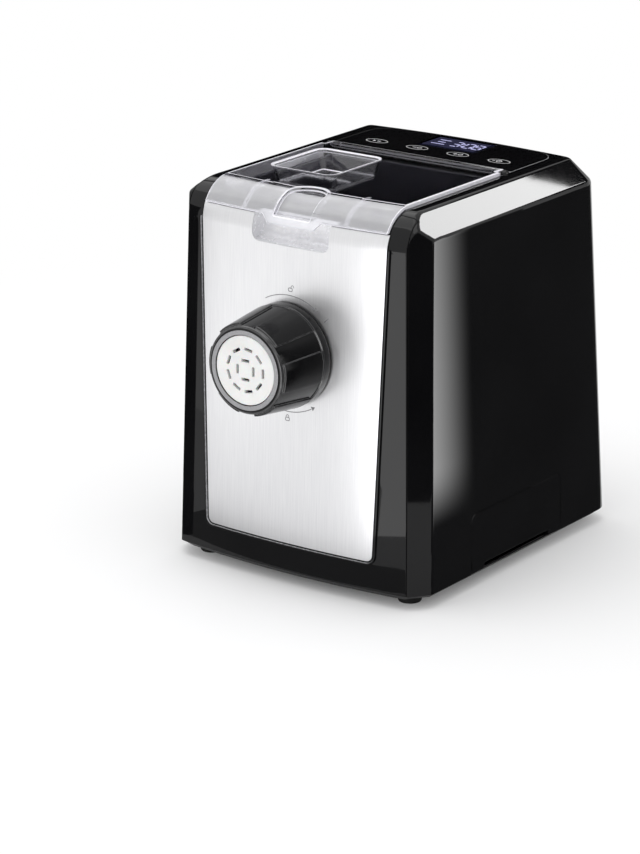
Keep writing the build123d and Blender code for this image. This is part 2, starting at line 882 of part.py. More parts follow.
# Top deck: the frame that carries the chamber, the lid's hinge ears and the control panel
deck_shoulder = top_facet_width * (1 - (rim_z - wall - deck_top) / top_facet_drop)
deck_half = half_width(deck_top) - wall - deck_shoulder - fit_gap
deck_back_y = back_mid_y(deck_top) - wall - deck_shoulder - rear_drop(deck_half) - fit_gap
deck_front_y = front_y + deck_front
platform_top = rim_z - control_inset - control_thickness
chamber_front_y = front_y + chamber_front
chamber_back_y = front_y + chamber_back
ear_x = lid_half - hinge_ear_width / 2
switch_x = lid_half - switch_inset
board_post_spread_x = 2 * (control_half - board_post_inset)
window_back = control_back - window_inset
with BuildPart() as top_deck:
    with BuildSketch(Plane.XY.offset(deck_top)) as deck_plan:
        with Locations((0, (deck_front_y + deck_back_y) / 2)):
            Rectangle(2 * deck_half, deck_back_y - deck_front_y)
        fillet(deck_plan.vertices().group_by(Axis.Y)[-1], rear_corner_radius - wall)
        with Locations((0, (chamber_front_y + chamber_back_y) / 2)):
            mouth_length = chamber_back - chamber_front + 2 * fit_gap
            Rectangle(2 * (chamber_half + fit_gap), mouth_length, mode=Mode.SUBTRACT)
        with Locations((switch_x, front_y + switch_y)):
            Circle(plunger_radius + running_gap, mode=Mode.SUBTRACT)
    extrude(amount=-deck_thickness)
    add(control_plan(deck_top, front_y + control_front + platform_wall, -platform_wall))
    extrude(amount=platform_top - deck_top)
    hollow_front_y = front_y + control_front + 2 * platform_wall
    add(control_plan(platform_top - platform_wall, hollow_front_y, -2 * platform_wall))
    extrude(amount=-overrun, mode=Mode.SUBTRACT)
    with BuildSketch(Plane.XY.offset(platform_top + overrun)):
        with Locations((0, front_y + window_back - window_length / 2)):
            Rectangle(window_width - 2 * platform_wall, window_length - 2 * platform_wall)
    extrude(amount=-2 * overrun, mode=Mode.SUBTRACT)
    with BuildSketch(Plane.XY.offset(platform_top - platform_wall)):
        with Locations((0, front_y + (control_front + control_back) / 2)):
            with GridLocations(board_post_spread_x, board_post_spread_y, 2, 2):
                Circle(board_post_radius)
    extrude(amount=-board_drop)
    for side in (-1, 1):
        with BuildSketch(Plane.YZ.offset(side * ear_x)):
            with BuildLine():
                Polyline(
                    (hinge_y + hinge_ear_radius, deck_top),
                    (hinge_y + hinge_ear_radius, hinge_z),
                )
                CenterArc((hinge_y, hinge_z), hinge_ear_radius, 0, 180)
                Polyline(
                    (hinge_y - hinge_ear_radius, hinge_z),
                    (hinge_y - hinge_ear_radius, deck_top),
                    (hinge_y + hinge_ear_radius, deck_top),
                )
            make_face()
            with Locations((hinge_y, hinge_z)):
                Circle(hinge_pin_radius + seat_gap, mode=Mode.SUBTRACT)
        extrude(amount=hinge_ear_width / 2, both=True)
save(top_deck, "top_deck")

# Hinge pins: two short steel pins held in the deck's ears
with BuildPart() as hinge_pins:
    for side in (-1, 1):
        with BuildSketch(Plane.YZ.offset(side * lid_half)):
            with Locations((hinge_y, hinge_z)):
                Circle(hinge_pin_radius)
        extrude(amount=-side * hinge_pin_length)
save(hinge_pins, "hinge_pins")


def lid_layer(outer_depth, inner_depth):
    """A ring of the lid's section, front wall and top plate, between two depths below its skin."""
    return front_skin(outer_depth - lid_proud, inner_depth - lid_proud, panel_high_z + lid_lip_gap, lid_top)


def lid_block(x_low, x_high, y_low, y_high):
    """A tall block over a rectangle of the lid's plan."""
    with BuildPart() as block:
        with BuildSketch(Plane.XY.offset(lid_top + overrun)):
            with Locations(((x_low + x_high) / 2, (y_low + y_high) / 2)):
                Rectangle(x_high - x_low, y_high - y_low)
        extrude(amount=-3 * overrun)
    return block.part


def thumb_block(half, reach):
    """A tall block with a round back over the lid's thumb channel."""
    with BuildPart() as block:
        with BuildSketch(Plane.XY.offset(lid_top + overrun)):
            front = front_y - overrun
            back = front_y + front_lean + reach
            with BuildLine():
                Polyline((half, back), (half, front), (-half, front), (-half, back))
                ThreePointArc((-half, back), (0, back + half), (half, back))
            make_face()
        extrude(amount=-3 * overrun)
    return block.part


def tab_block(top_z):
    """A prism through the front over the lid's tapered tab."""
    with BuildPart() as block:
        with BuildSketch(across(front_y + overrun)):
            with BuildLine():
                Polyline(
                    (-lid_tab_half - lid_tab_slope, top_z),
                    (-lid_tab_half, top_z - lid_tab_drop),
                    (lid_tab_half, top_z - lid_tab_drop),
                    (lid_tab_half + lid_tab_slope, top_z),
                    close=True,
                )
            make_face()
        extrude(amount=2 * overrun)
    return block.part


def tray_form(inset, low_z):
    """The lid's pour tray as a drafted block, drawn in by the inset on its sides, down to low_z."""
    with BuildPart() as form:
        for level, draft in ((lid_top, 0), (low_z, tray_draft * (lid_top - low_z) / tray_depth)):
            with BuildSketch(Plane.XY.offset(level)):
                with Locations(((tray_left + tray_right) / 2, front_y + (tray_front + tray_back) / 2)):
                    RectangleRounded(
                        tray_right - tray_left - 2 * (inset + draft),
                        tray_back - tray_front - 2 * (inset + draft),
                        tray_corner - inset - draft,
                    )
        loft(ruled=True)
    return form.part


# Lid: clear moulding with a bent front, thumb channel, tab, side skirts, pour tray and hinge knuckle
lid_front_y = front_y - overrun
skirt_low_z = deck_top + fit_gap
skirt_back = hinge_back - hinge_notch
knuckle_half = ear_x - hinge_ear_width / 2 - fit_gap
lid_under_z = lid_top - lid_thickness
with BuildPart() as lid:
    add(lid_layer(0, lid_thickness))
    add(lid_block(-lid_half, lid_half, lid_front_y, hinge_y), mode=Mode.INTERSECT)
    rib_layer = lid_layer(0, lid_thickness + lid_rib_depth)
    rib_back_y = front_y + lid_bend_end
    for side in (-1, 1):
        rib_x = side * lid_rib_x
        rib = lid_block(rib_x - lid_rib_width / 2, rib_x + lid_rib_width / 2, lid_front_y, rib_back_y)
        add(rib_layer.intersect(rib))
    thumb_layer = lid_layer(0, lid_thickness + thumb_depth)
    add(thumb_layer.intersect(thumb_block(thumb_half + thumb_rim, thumb_reach)))
    add(lid_layer(0, thumb_depth).intersect(thumb_block(thumb_half, thumb_reach)), mode=Mode.SUBTRACT)
    tab_top_z = panel_high_z + lid_lip_gap
    tab_skin = front_skin(-lid_proud, lid_thickness - lid_proud, tab_top_z - lid_tab_drop, tab_top_z)
    add(tab_skin.intersect(tab_block(tab_top_z)))
    for side in (-1, 1):
        with BuildSketch(Plane.XY.offset(lid_under_z)):
            skirt_mid_y = front_y + (lid_skirt_front + skirt_back) / 2
            with Locations((side * (lid_half - lid_skirt_width / 2), skirt_mid_y)):
                Rectangle(lid_skirt_width, skirt_back - lid_skirt_front)
        extrude(amount=skirt_low_z - lid_under_z)
    add(tray_form(0, lid_top - tray_depth))
    add(tray_form(tray_wall, lid_top - tray_depth + tray_wall), mode=Mode.SUBTRACT)
    with BuildSketch(Plane.XY.offset(lid_top)):
        mouth_x = tray_right - tray_draft - tray_mouth_inset - tray_mouth_width / 2
        mouth_y = front_y + tray_front + tray_draft + tray_mouth_inset + tray_mouth_length / 2
        with Locations((mouth_x, mouth_y)):
            Rectangle(tray_mouth_width, tray_mouth_length)
    extrude(amount=-tray_depth - overrun, mode=Mode.SUBTRACT)
    for side in (-1, 1):
        with BuildSketch(Plane.XY.offset(lid_top + overrun)):
            with Locations((side * (knuckle_half + overrun / 2), hinge_y)):
                Rectangle(overrun, 2 * hinge_notch)
        extrude(amount=-2 * overrun, mode=Mode.SUBTRACT)
    with BuildSketch(Plane.YZ):
        with Locations((hinge_y, hinge_z)):
            Circle(hinge_knuckle_radius)
    extrude(amount=knuckle_half, both=True)
    for side in (-1, 1):
        with BuildSketch(Plane.YZ.offset(side * knuckle_half)):
            with Locations((hinge_y, hinge_z)):
                Circle(hinge_pin_radius + running_gap)
        extrude(amount=-side * hinge_pin_length, mode=Mode.SUBTRACT)
save(lid, "lid")

# Control panel: gloss plate behind the lid with the display's window in it
window_y = front_y + window_back - window_length / 2
control_mid_y = front_y + (control_front + control_back) / 2
with BuildPart() as control_panel:
    add(control_plan(platform_top, front_y + control_front, 0))
    extrude(amount=control_thickness)
    with BuildSketch(Plane.XY.offset(platform_top)):
        with Locations((0, window_y)):
            Rectangle(window_width, window_length)
    extrude(amount=control_thickness, mode=Mode.SUBTRACT)
save(control_panel, "control_panel")

# Display lens: flush pane in the control panel's window
with BuildPart() as display_lens:
    with BuildSketch(Plane.XY.offset(platform_top + seat_gap)):
        with Locations((0, window_y)):
            Rectangle(window_width - 2 * seat_gap, window_length - 2 * seat_gap)
    extrude(amount=control_thickness - seat_gap)
save(display_lens, "display_lens")

# Control board: hangs under the deck's posts
board_top_z = platform_top - platform_wall - board_drop
chip_x = board_post_spread_x / 2 - chip_inset
chip_y = window_y - window_length / 2 - chip_room
with BuildPart() as control_board:
    with BuildSketch(Plane.XY.offset(board_top_z)):
        with Locations((0, control_mid_y)):
            Rectangle(board_post_spread_x + 2 * board_margin, board_post_spread_y + 2 * board_margin)
    extrude(amount=-board_thickness)
    with BuildSketch(Plane.XY.offset(board_top_z)):
        with Locations((-chip_x, chip_y), (chip_x, chip_y)):
            Rectangle(chip_size, chip_size)
    extrude(amount=chip_height)
save(control_board, "control_board")

# Display module: stands on the control board and fills the deck's window under the lens
with BuildPart() as display_module:
    with BuildSketch(Plane.XY.offset(board_top_z)):
        with Locations((0, window_y)):
            Rectangle(
                window_width - 2 * (platform_wall + fit_gap),
                window_length - 2 * (platform_wall + fit_gap),
            )
    extrude(amount=platform_wall + board_drop)
save(display_module, "display_module")

# Interlock switch under the deck and the plunger that the closed lid holds down
switch_spot = (switch_x, front_y + switch_y)
deck_under_z = deck_top - deck_thickness
plunger_engagement = plunger_grip + plunger_travel
plunger_low_z = deck_under_z - plunger_engagement
with BuildPart() as interlock_switch:
    with BuildSketch(Plane.XY.offset(deck_under_z)):
        with Locations(switch_spot):
            Rectangle(switch_width, switch_length)
    extrude(amount=-switch_height)
    with BuildSketch(Plane.XY.offset(plunger_low_z)):
        with Locations(switch_spot):
            Circle(plunger_radius + running_gap)
    extrude(amount=plunger_engagement, mode=Mode.SUBTRACT)
save(interlock_switch, "interlock_switch")

with BuildPart() as interlock_plunger:
    with BuildSketch(Plane.XY.offset(plunger_low_z + fit_gap)):
        with Locations(switch_spot):
            Circle(plunger_radius)
    extrude(amount=lid_under_z - plunger_lift_room - plunger_low_z - fit_gap)
save(interlock_plunger, "interlock_plunger")

# Mixing chamber: trough with a flange that hangs on the deck
chamber_top_z = deck_top + flange_thickness
barrel_screw_spots = [
    (
        barrel_screw_ring * cos(radians(barrel_screw_angle + 360 * index / barrel_screw_count)),
        axis_z + barrel_screw_ring * sin(radians(barrel_screw_angle + 360 * index / barrel_screw_count)),
    )
    for index in range(barrel_screw_count)
]


def trough(inset, y_start, y_end):
    """The chamber's form between two depths: a round trough with straight sides up to the rim, drawn in."""
    with BuildPart() as form:
        with BuildSketch(across(y_end)):
            with Locations((0, axis_z)):
                Circle(trough_radius - inset)
            with Locations((0, chamber_top_z - flange_thickness / 2)):
                Rectangle(2 * (chamber_half - inset), flange_thickness)
            make_hull()
        extrude(amount=y_end - y_start)
    return form.part


with BuildPart() as mixing_chamber:
    add(trough(0, chamber_front_y, chamber_back_y))
    with BuildSketch(Plane.XY.offset(deck_top)):
        with Locations((0, (chamber_front_y + chamber_back_y) / 2)):
            Rectangle(2 * (chamber_half + flange_width), chamber_back - chamber_front + 2 * flange_end)
    extrude(amount=flange_thickness)
    trough_hollow = trough(chamber_wall, chamber_front_y + chamber_wall, chamber_back_y - chamber_wall)
    add(trough_hollow, mode=Mode.SUBTRACT)
    with BuildSketch(across(chamber_back_y)):
        with Locations((0, axis_z)):
            Circle(seal_radius + seat_gap)
    extrude(amount=chamber_wall, mode=Mode.SUBTRACT)
    with BuildSketch(across(chamber_front_y + chamber_wall)):
        with Locations((0, axis_z)):
            Circle(barrel_bore)
        with Locations(*barrel_screw_spots):
            Circle(screw_shank_radius + screw_shank_gap)
    extrude(amount=chamber_wall, mode=Mode.SUBTRACT)
save(mixing_chamber, "mixing_chamber")

# Shaft seal in the chamber's rear wall
seal_mid_y = chamber_back_y - chamber_wall / 2
with BuildPart() as shaft_seal:
    seal_start_y = seal_mid_y - seal_length / 2
    add(bored_disc(seal_radius, shaft_radius + running_gap, seal_start_y, seal_start_y + seal_length))
save(shaft_seal, "shaft_seal")

# Extruder barrel: tube with a flange on the chamber's front wall
with BuildPart() as extruder_barrel:
    add(bored_disc(barrel_radius, barrel_bore, barrel_end_y, chamber_front_y))
    add(bored_disc(barrel_flange_radius, barrel_bore, chamber_front_y - barrel_flange, chamber_front_y))
    with BuildSketch(across(chamber_front_y)):
        with Locations(*barrel_screw_spots):
            Circle(screw_shank_radius + screw_shank_gap)
    extrude(amount=barrel_flange, mode=Mode.SUBTRACT)
save(extruder_barrel, "extruder_barrel")

# Die: flanged disc at the barrel's end with rings of strip slots
die_face_y = nut_front_y + ring_thickness
with BuildPart() as die:
    add(bored_disc(die_flange_radius, die_hollow_radius, barrel_end_y - die_flange, barrel_end_y))
    with BuildSketch(across(barrel_end_y)):
        with Locations((0, axis_z)):
            Circle(die_face_radius)
    extrude(amount=barrel_end_y - die_face_y)
    with BuildSketch(across(barrel_end_y)):
        with Locations((0, axis_z)):
            Circle(die_hollow_radius)
    extrude(amount=barrel_end_y - die_face_y - die_web, mode=Mode.SUBTRACT)
    with BuildSketch(across(barrel_end_y)):
        with Locations((0, axis_z)):
            with PolarLocations(die_outer_ring, die_outer_count):
                Rectangle(die_slot_width, die_slot_length)
            with PolarLocations(die_inner_ring, die_inner_count):
                Rectangle(die_slot_width, die_slot_length)
    extrude(amount=barrel_end_y - die_face_y, mode=Mode.SUBTRACT)
save(die, "die")

# Locking nut over the die, with raised grip pads on its cone
nut_back_y = front_mid_y(axis_z - nut_rear_radius) - panel_proud - nut_panel_gap
cone_start_y = nut_back_y - nut_skirt
cone_end_y = nut_front_y + nut_edge
nut_bore = barrel_radius + nut_bore_gap
lip_bore = die_face_radius + nut_bore_gap
lip_back_y = barrel_end_y - die_flange - fit_gap


def cone_radius(y):
    """Radius of the nut's cone at depth y."""
    start = nut_rear_radius - nut_skirt_step
    return start + (nut_front_radius - start) * (y - cone_start_y) / (cone_end_y - cone_start_y)


pad_back_y = cone_start_y - pad_end_inset
pad_front_y = cone_end_y + pad_end_inset
with BuildPart() as die_nut:
    with BuildSketch(spoke(0)):
        with BuildLine():
            Polyline(
                (nut_bore, nut_back_y),
                (nut_rear_radius, nut_back_y),
                (nut_rear_radius, cone_start_y),
                (cone_radius(cone_start_y), cone_start_y),
                (nut_front_radius, cone_end_y),
                (ring_outer, die_face_y),
                (lip_bore, die_face_y),
                (lip_bore, lip_back_y),
                (nut_bore, lip_back_y),
                close=True,
            )
        make_face()
    revolve(axis=drive_axis)
    for pad in range(pad_count):
        with BuildSketch(spoke(pad_first_angle + 360 * pad / pad_count)):
            with BuildLine():
                Polyline(
                    (cone_radius(pad_back_y) - pad_height, pad_back_y),
                    (cone_radius(pad_back_y) + pad_height, pad_back_y),
                    (cone_radius(pad_front_y) + pad_height, pad_front_y),
                    (cone_radius(pad_front_y) - pad_height, pad_front_y),
                    close=True,
                )
            make_face()
        revolve(axis=drive_axis, revolution_arc=pad_angle)
save(die_nut, "die_nut")

# Trim ring on the nut's front
with BuildPart() as nut_ring:
    add(bored_disc(ring_outer, ring_inner, nut_front_y, die_face_y))
save(nut_ring, "nut_ring")

# Extrusion screw: flight lofted through turned sections, with a socketed hub behind it
screw_front_y = barrel_end_y + screw_front_gap
screw_back_y = front_y + screw_back
hub_end_y = chamber_back_y - chamber_wall - hub_end_gap
screw_turn = 360 * (screw_back_y - screw_front_y) / screw_pitch
screw_steps = ceil(screw_turn / flight_step)


def flight_section(share):
    """The screw's section at a share of its length: the core with one flight, turned to match."""
    angle = screw_turn * share
    y = screw_front_y + (screw_back_y - screw_front_y) * share
    with BuildSketch(across(y)) as section:
        with BuildLine():
            flight = CenterArc((0, axis_z), screw_radius, angle, flight_angle)
            core = CenterArc((0, axis_z), screw_core, angle + flight_angle, 360 - flight_angle)
            Line(flight @ 1, core @ 0)
            Line(core @ 1, flight @ 0)
        make_face()
    return section.sketch


with BuildPart() as extrusion_screw:
    loft([flight_section(step / screw_steps) for step in range(screw_steps + 1)], ruled=True)
    with BuildSketch(across(hub_end_y)):
        with Locations((0, axis_z)):
            Circle(hub_radius)
    extrude(amount=hub_end_y - screw_back_y)
    with BuildSketch(across(hub_end_y)):
        with Locations((0, axis_z)):
            RegularPolygon(socket_flats / 2 + seat_gap, 6, major_radius=False)
    extrude(amount=socket_depth, mode=Mode.SUBTRACT)
save(extrusion_screw, "extrusion_screw")

# Mixing paddle: sleeve on the hub with three hoop arms
sleeve_radius = hub_radius + paddle_gap + paddle_wall
sleeve_front_y = screw_back_y + fit_gap
sleeve_length = hub_end_y - sleeve_front_y
with BuildPart() as mixing_paddle:
    add(bored_disc(sleeve_radius, hub_radius + paddle_gap, sleeve_front_y, hub_end_y))
    for arm in range(paddle_count):
        arm_y = sleeve_front_y + (sleeve_length - paddle_length) * arm / (paddle_count - 1)
        inner_r = sleeve_radius - paddle_wall / 2
        with BuildSketch(spoke(paddle_first_angle + 360 * arm / paddle_count)):
            with Locations(((inner_r + paddle_reach) / 2, arm_y + paddle_length / 2)):
                Rectangle(paddle_reach - inner_r, paddle_length)
            with Locations(((inner_r + paddle_reach - paddle_bar) / 2, arm_y + paddle_length / 2)):
                eye_width = paddle_reach - paddle_bar - inner_r
                Rectangle(eye_width, paddle_length - 2 * paddle_bar, mode=Mode.SUBTRACT)
        extrude(amount=paddle_thickness / 2, both=True)
save(mixing_paddle, "mixing_paddle")

# Depths of the gear stages, and the spots of their axes
gear_inner_y = gear_floor_y + gearbox_floor
slow_end_y = gear_inner_y + gear_side_gap + slow_face
fast_end_y = slow_end_y + stage_gap + fast_face
gear_cover_y = fast_end_y + gear_side_gap
gear_end_y = gear_cover_y + cover_thickness
output_spot = (0, axis_z)
counter_spot = (counter_x, counter_z)
motor_spot = (motor_x, motor_z)
slow_room = slow_module * (slow_gear_teeth / 2 + addendum_share) + gear_room
fast_room = fast_module * (fast_gear_teeth / 2 + addendum_share) + gear_room


def around(spot, radius, angle):
    """A point at a radius and an angle from a spot."""
    return (spot[0] + radius * cos(radians(angle)), spot[1] + radius * sin(radians(angle)))


def gear_outline(teeth, module, tooth_angle, spot):
    """A gear's outline about a spot of a plane that faces the front, with one tooth centred at the angle."""
    pitch_radius = module * teeth / 2
    base_radius = pitch_radius * cos(radians(pressure_angle))
    radii = (pitch_radius - dedendum_share * module, pitch_radius, pitch_radius + addendum_share * module)
    flank = []
    for radius in radii:
        lean = acos(min(1, base_radius / radius))
        curve = tan(radians(pressure_angle)) - radians(pressure_angle) - tan(lean) + lean
        flank.append((radius, tooth_thickness_share * pi / (2 * teeth) + curve))
    corners = []
    for tooth in range(teeth):
        middle = radians(tooth_angle) + 2 * pi * tooth / teeth
        corners += [(radius * cos(middle - half), radius * sin(middle - half)) for radius, half in flank]
        corners += [
            (radius * cos(middle + half), radius * sin(middle + half)) for radius, half in reversed(flank)
        ]
    with BuildSketch() as outline:
        with Locations(spot):
            Polygon(*corners, align=None)
    return outline.sketch_local


def gearbox_outline(grow):
    """The gearbox's outline on a plane that faces the front: the hull of its three axes' rooms, grown."""
    with BuildSketch() as outline:
        with Locations(output_spot):
            Circle(slow_room + grow)
        with Locations(counter_spot):
            Circle(fast_room + grow)
        with Locations(motor_spot):
            Circle(motor_plate_radius + grow)
        make_hull()
    return outline.sketch_local


boss_spots = [around(output_spot, slow_room + gearbox_wall, angle) for angle in output_boss_angles]
boss_spots.append(around(counter_spot, fast_room + gearbox_wall, counter_boss_angle))
boss_spots.append(around(motor_spot, motor_plate_radius + gearbox_wall, motor_boss_angle))
motor_screw_spots = [
    around(motor_spot, motor_screw_ring, motor_screw_angle + half_turn) for half_turn in (0, 180)
]
output_bearing_radius = shaft_radius + bearing_wall
counter_bearing_radius = counter_radius + bearing_wall

# Gearbox housing: cup behind the chamber with a leg and a foot on the pan
with BuildPart() as gearbox_housing:
    with BuildSketch(across(gear_cover_y)):
        add(gearbox_outline(gearbox_wall))
    extrude(amount=gear_cover_y - gear_floor_y)
    with BuildSketch(across(gear_cover_y)):
        with Locations(*boss_spots):
            Circle(boss_radius)
    extrude(amount=gear_cover_y - gear_floor_y)
    with BuildSketch(across(gear_floor_y + leg_thickness)):
        with Locations((motor_x, (pan_floor_z + motor_z) / 2)):
            Rectangle(gearbox_leg_width, motor_z - pan_floor_z)
    extrude(amount=leg_thickness)
    with BuildSketch(Plane.XY.offset(pan_floor_z)):
        with Locations((motor_x, gear_floor_y + (leg_thickness + leg_flange) / 2)):
            Rectangle(gearbox_leg_width, leg_thickness + leg_flange)
    extrude(amount=leg_flange_thickness)
    with BuildSketch(across(gear_cover_y)):
        add(gearbox_outline(0))
    extrude(amount=gear_cover_y - gear_inner_y, mode=Mode.SUBTRACT)
    with BuildSketch(across(gear_inner_y)):
        with Locations(output_spot):
            Circle(output_bearing_radius + seat_gap)
        with Locations(counter_spot):
            Circle(counter_bearing_radius + seat_gap)
        with Locations(motor_spot):
            Circle(motor_shaft_radius + motor_hole_gap)
        with Locations(*motor_screw_spots):
            Circle(screw_shank_radius + screw_shank_gap)
    extrude(amount=gearbox_floor, mode=Mode.SUBTRACT)
    with BuildSketch(across(gear_cover_y)):
        with Locations(*boss_spots):
            Circle(screw_shank_radius + screw_shank_gap)
    extrude(amount=boss_depth, mode=Mode.SUBTRACT)
    with BuildSketch(Plane.XY.offset(pan_floor_z)):
        with Locations(*leg_screw_spots):
            Circle(screw_shank_radius + screw_shank_gap)
    extrude(amount=leg_flange_thickness, mode=Mode.SUBTRACT)
save(gearbox_housing, "gearbox_housing")

# Gearbox cover
with BuildPart() as gearbox_cover:
    with BuildSketch(across(gear_end_y)):
        add(gearbox_outline(gearbox_wall))
    extrude(amount=cover_thickness)
    with BuildSketch(across(gear_end_y)):
        with Locations(*boss_spots):
            Circle(boss_radius)
    extrude(amount=cover_thickness)
    with BuildSketch(across(gear_end_y)):
        with Locations(output_spot):
            Circle(output_bearing_radius + seat_gap)
        with Locations(counter_spot):
            Circle(counter_bearing_radius + seat_gap)
        with Locations(*boss_spots):
            Circle(screw_shank_radius + screw_shank_gap)
    extrude(amount=cover_thickness, mode=Mode.SUBTRACT)
save(gearbox_cover, "gearbox_cover")

# Bearings of the output shaft and the countershaft, one at each side of the gearbox
bearing_ends = (gear_floor_y + bearing_width, gear_end_y)
with BuildPart() as output_bearings:
    for end_y in bearing_ends:
        add(bored_disc(output_bearing_radius, shaft_radius + running_gap, end_y - bearing_width, end_y))
save(output_bearings, "output_bearings")

with BuildPart() as counter_bearings:
    for end_y in bearing_ends:
        add(
            bored_disc(
                counter_bearing_radius,
                counter_radius + running_gap,
                end_y - bearing_width,
                end_y,
                counter_x,
                counter_z,
            )
        )
save(counter_bearings, "counter_bearings")

# Output shaft with the hexagonal end that drives the screw's hub
hex_end_y = chamber_back_y - chamber_wall - hub_end_gap + hub_end_gap / 2
with BuildPart() as output_shaft:
    with BuildSketch(across(gear_end_y)):
        with Locations(output_spot):
            Circle(shaft_radius)
    extrude(amount=gear_end_y - hex_end_y)
    with BuildSketch(across(hex_end_y)):
        with Locations(output_spot):
            RegularPolygon(socket_flats / 2, 6, major_radius=False)
    extrude(amount=hex_end_y - hub_end_y + socket_depth - fit_gap)
save(output_shaft, "output_shaft")

# Output gear
with BuildPart() as output_gear:
    with BuildSketch(across(slow_end_y)):
        add(gear_outline(slow_gear_teeth, slow_module, slow_direction, output_spot))
    extrude(amount=slow_face)
    with BuildSketch(across(slow_end_y)):
        slow_pitch_radius = slow_module * slow_gear_teeth / 2
        with Locations(output_spot):
            Circle(shaft_radius + seat_gap)
            with PolarLocations(slow_pitch_radius * web_ring_share, web_hole_count):
                Circle(slow_pitch_radius * web_hole_share)
    extrude(amount=slow_face, mode=Mode.SUBTRACT)
save(output_gear, "output_gear")

# Intermediate pinion, intermediate gear and the countershaft that joins them
with BuildPart() as intermediate_pinion:
    pinion_angle = slow_direction + 180 + 180 / slow_pinion_teeth
    with BuildSketch(across(slow_end_y)):
        add(gear_outline(slow_pinion_teeth, slow_module, pinion_angle, counter_spot))
    extrude(amount=slow_face)
    with BuildSketch(across(slow_end_y)):
        with Locations(counter_spot):
            Circle(counter_radius + seat_gap)
    extrude(amount=slow_face, mode=Mode.SUBTRACT)
save(intermediate_pinion, "intermediate_pinion")

with BuildPart() as intermediate_gear:
    with BuildSketch(across(fast_end_y)):
        add(gear_outline(fast_gear_teeth, fast_module, fast_direction, counter_spot))
    extrude(amount=fast_face)
    with BuildSketch(across(fast_end_y)):
        fast_pitch_radius = fast_module * fast_gear_teeth / 2
        with Locations(counter_spot):
            Circle(counter_radius + seat_gap)
            with PolarLocations(fast_pitch_radius * web_ring_share, web_hole_count):
                Circle(fast_pitch_radius * web_hole_share)
    extrude(amount=fast_face, mode=Mode.SUBTRACT)
save(intermediate_gear, "intermediate_gear")

with BuildPart() as countershaft:
    with BuildSketch(across(gear_end_y)):
        with Locations(counter_spot):
            Circle(counter_radius)
    extrude(amount=gear_end_y - gear_floor_y)
save(countershaft, "countershaft")

# Motor pinion
with BuildPart() as motor_pinion:
    pinion_angle = fast_direction + 180 + 180 / fast_pinion_teeth
    with BuildSketch(across(fast_end_y)):
        add(gear_outline(fast_pinion_teeth, fast_module, pinion_angle, motor_spot))
    extrude(amount=fast_face)
    with BuildSketch(across(fast_end_y)):
        with Locations(motor_spot):
            Circle(motor_shaft_radius + seat_gap)
    extrude(amount=fast_face, mode=Mode.SUBTRACT)
save(motor_pinion, "motor_pinion")

# Motor: slotted can between two end bells, with stator, bearings, rotor, shaft and tail fan
motor_front_y = gear_floor_y - motor_length
can_front_y = motor_front_y + motor_end
can_back_y = gear_floor_y - motor_end
can_mid_y = (can_front_y + can_back_y) / 2
motor_bearing_radius = motor_shaft_radius + bearing_wall
stator_radius = motor_radius - motor_wall - seat_gap
with BuildPart() as motor_can:
    add(bored_disc(motor_radius, motor_radius - motor_wall, can_front_y, can_back_y, motor_x, motor_z))
    for slot in range(motor_slot_count):
        outwards = spoke(360 * slot / motor_slot_count).x_dir
        with BuildSketch(Plane(origin=(motor_x, can_mid_y, motor_z), z_dir=outwards)):
            Rectangle(motor_slot_width, motor_slot_length)
        extrude(amount=motor_radius + overrun, mode=Mode.SUBTRACT)
save(motor_can, "motor_can")

with BuildPart() as motor_end_bells:
    for end_y in (can_front_y, gear_floor_y):
        bell_bore = motor_bearing_radius + seat_gap
        add(bored_disc(motor_radius, bell_bore, end_y - motor_end, end_y, motor_x, motor_z))
    with BuildSketch(across(gear_floor_y)):
        with Locations(*motor_screw_spots):
            Circle(screw_shank_radius + screw_shank_gap)
    extrude(amount=motor_end, mode=Mode.SUBTRACT)
save(motor_end_bells, "motor_end_bells")

with BuildPart() as motor_bearings:
    for end_y in (can_front_y, gear_floor_y):
        add(
            bored_disc(
                motor_bearing_radius,
                motor_shaft_radius + running_gap,
                end_y - motor_end,
                end_y,
                motor_x,
                motor_z,
            )
        )
save(motor_bearings, "motor_bearings")

rotor_radius = stator_radius - stator_wall - rotor_gap
with BuildPart() as motor_stator:
    stator_front_y = can_front_y + stator_inset
    stator_back_y = can_back_y - stator_inset
    stator_bore = stator_radius - stator_wall
    add(bored_disc(stator_radius, stator_bore, stator_front_y, stator_back_y, motor_x, motor_z))
save(motor_stator, "motor_stator")

with BuildPart() as motor_rotor:
    rotor_front_y = can_mid_y - rotor_length / 2
    rotor_bore = motor_shaft_radius + seat_gap
    add(bored_disc(rotor_radius, rotor_bore, rotor_front_y, rotor_front_y + rotor_length, motor_x, motor_z))
save(motor_rotor, "motor_rotor")

with BuildPart() as motor_shaft:
    with BuildSketch(across(fast_end_y + fit_gap)):
        with Locations(motor_spot):
            Circle(motor_shaft_radius)
    extrude(amount=fast_end_y + fit_gap - motor_front_y + motor_tail)
save(motor_shaft, "motor_shaft")

fan_back_y = motor_front_y - fan_gap
with BuildPart() as motor_fan:
    fan_bore = motor_shaft_radius + seat_gap
    add(bored_disc(fan_hub_radius, fan_bore, fan_back_y - fan_width, fan_back_y, motor_x, motor_z))
    add(bored_disc(fan_radius, fan_bore, fan_back_y - fan_blade, fan_back_y, motor_x, motor_z))
    blade_start = fan_hub_radius - fan_blade
    for blade in range(fan_blade_count):
        with BuildSketch(spoke(360 * blade / fan_blade_count, motor_x, motor_z)):
            with Locations(((blade_start + fan_radius) / 2, fan_back_y - fan_width / 2)):
                Rectangle(fan_radius - blade_start, fan_width)
        extrude(amount=fan_blade / 2, both=True)
save(motor_fan, "motor_fan")

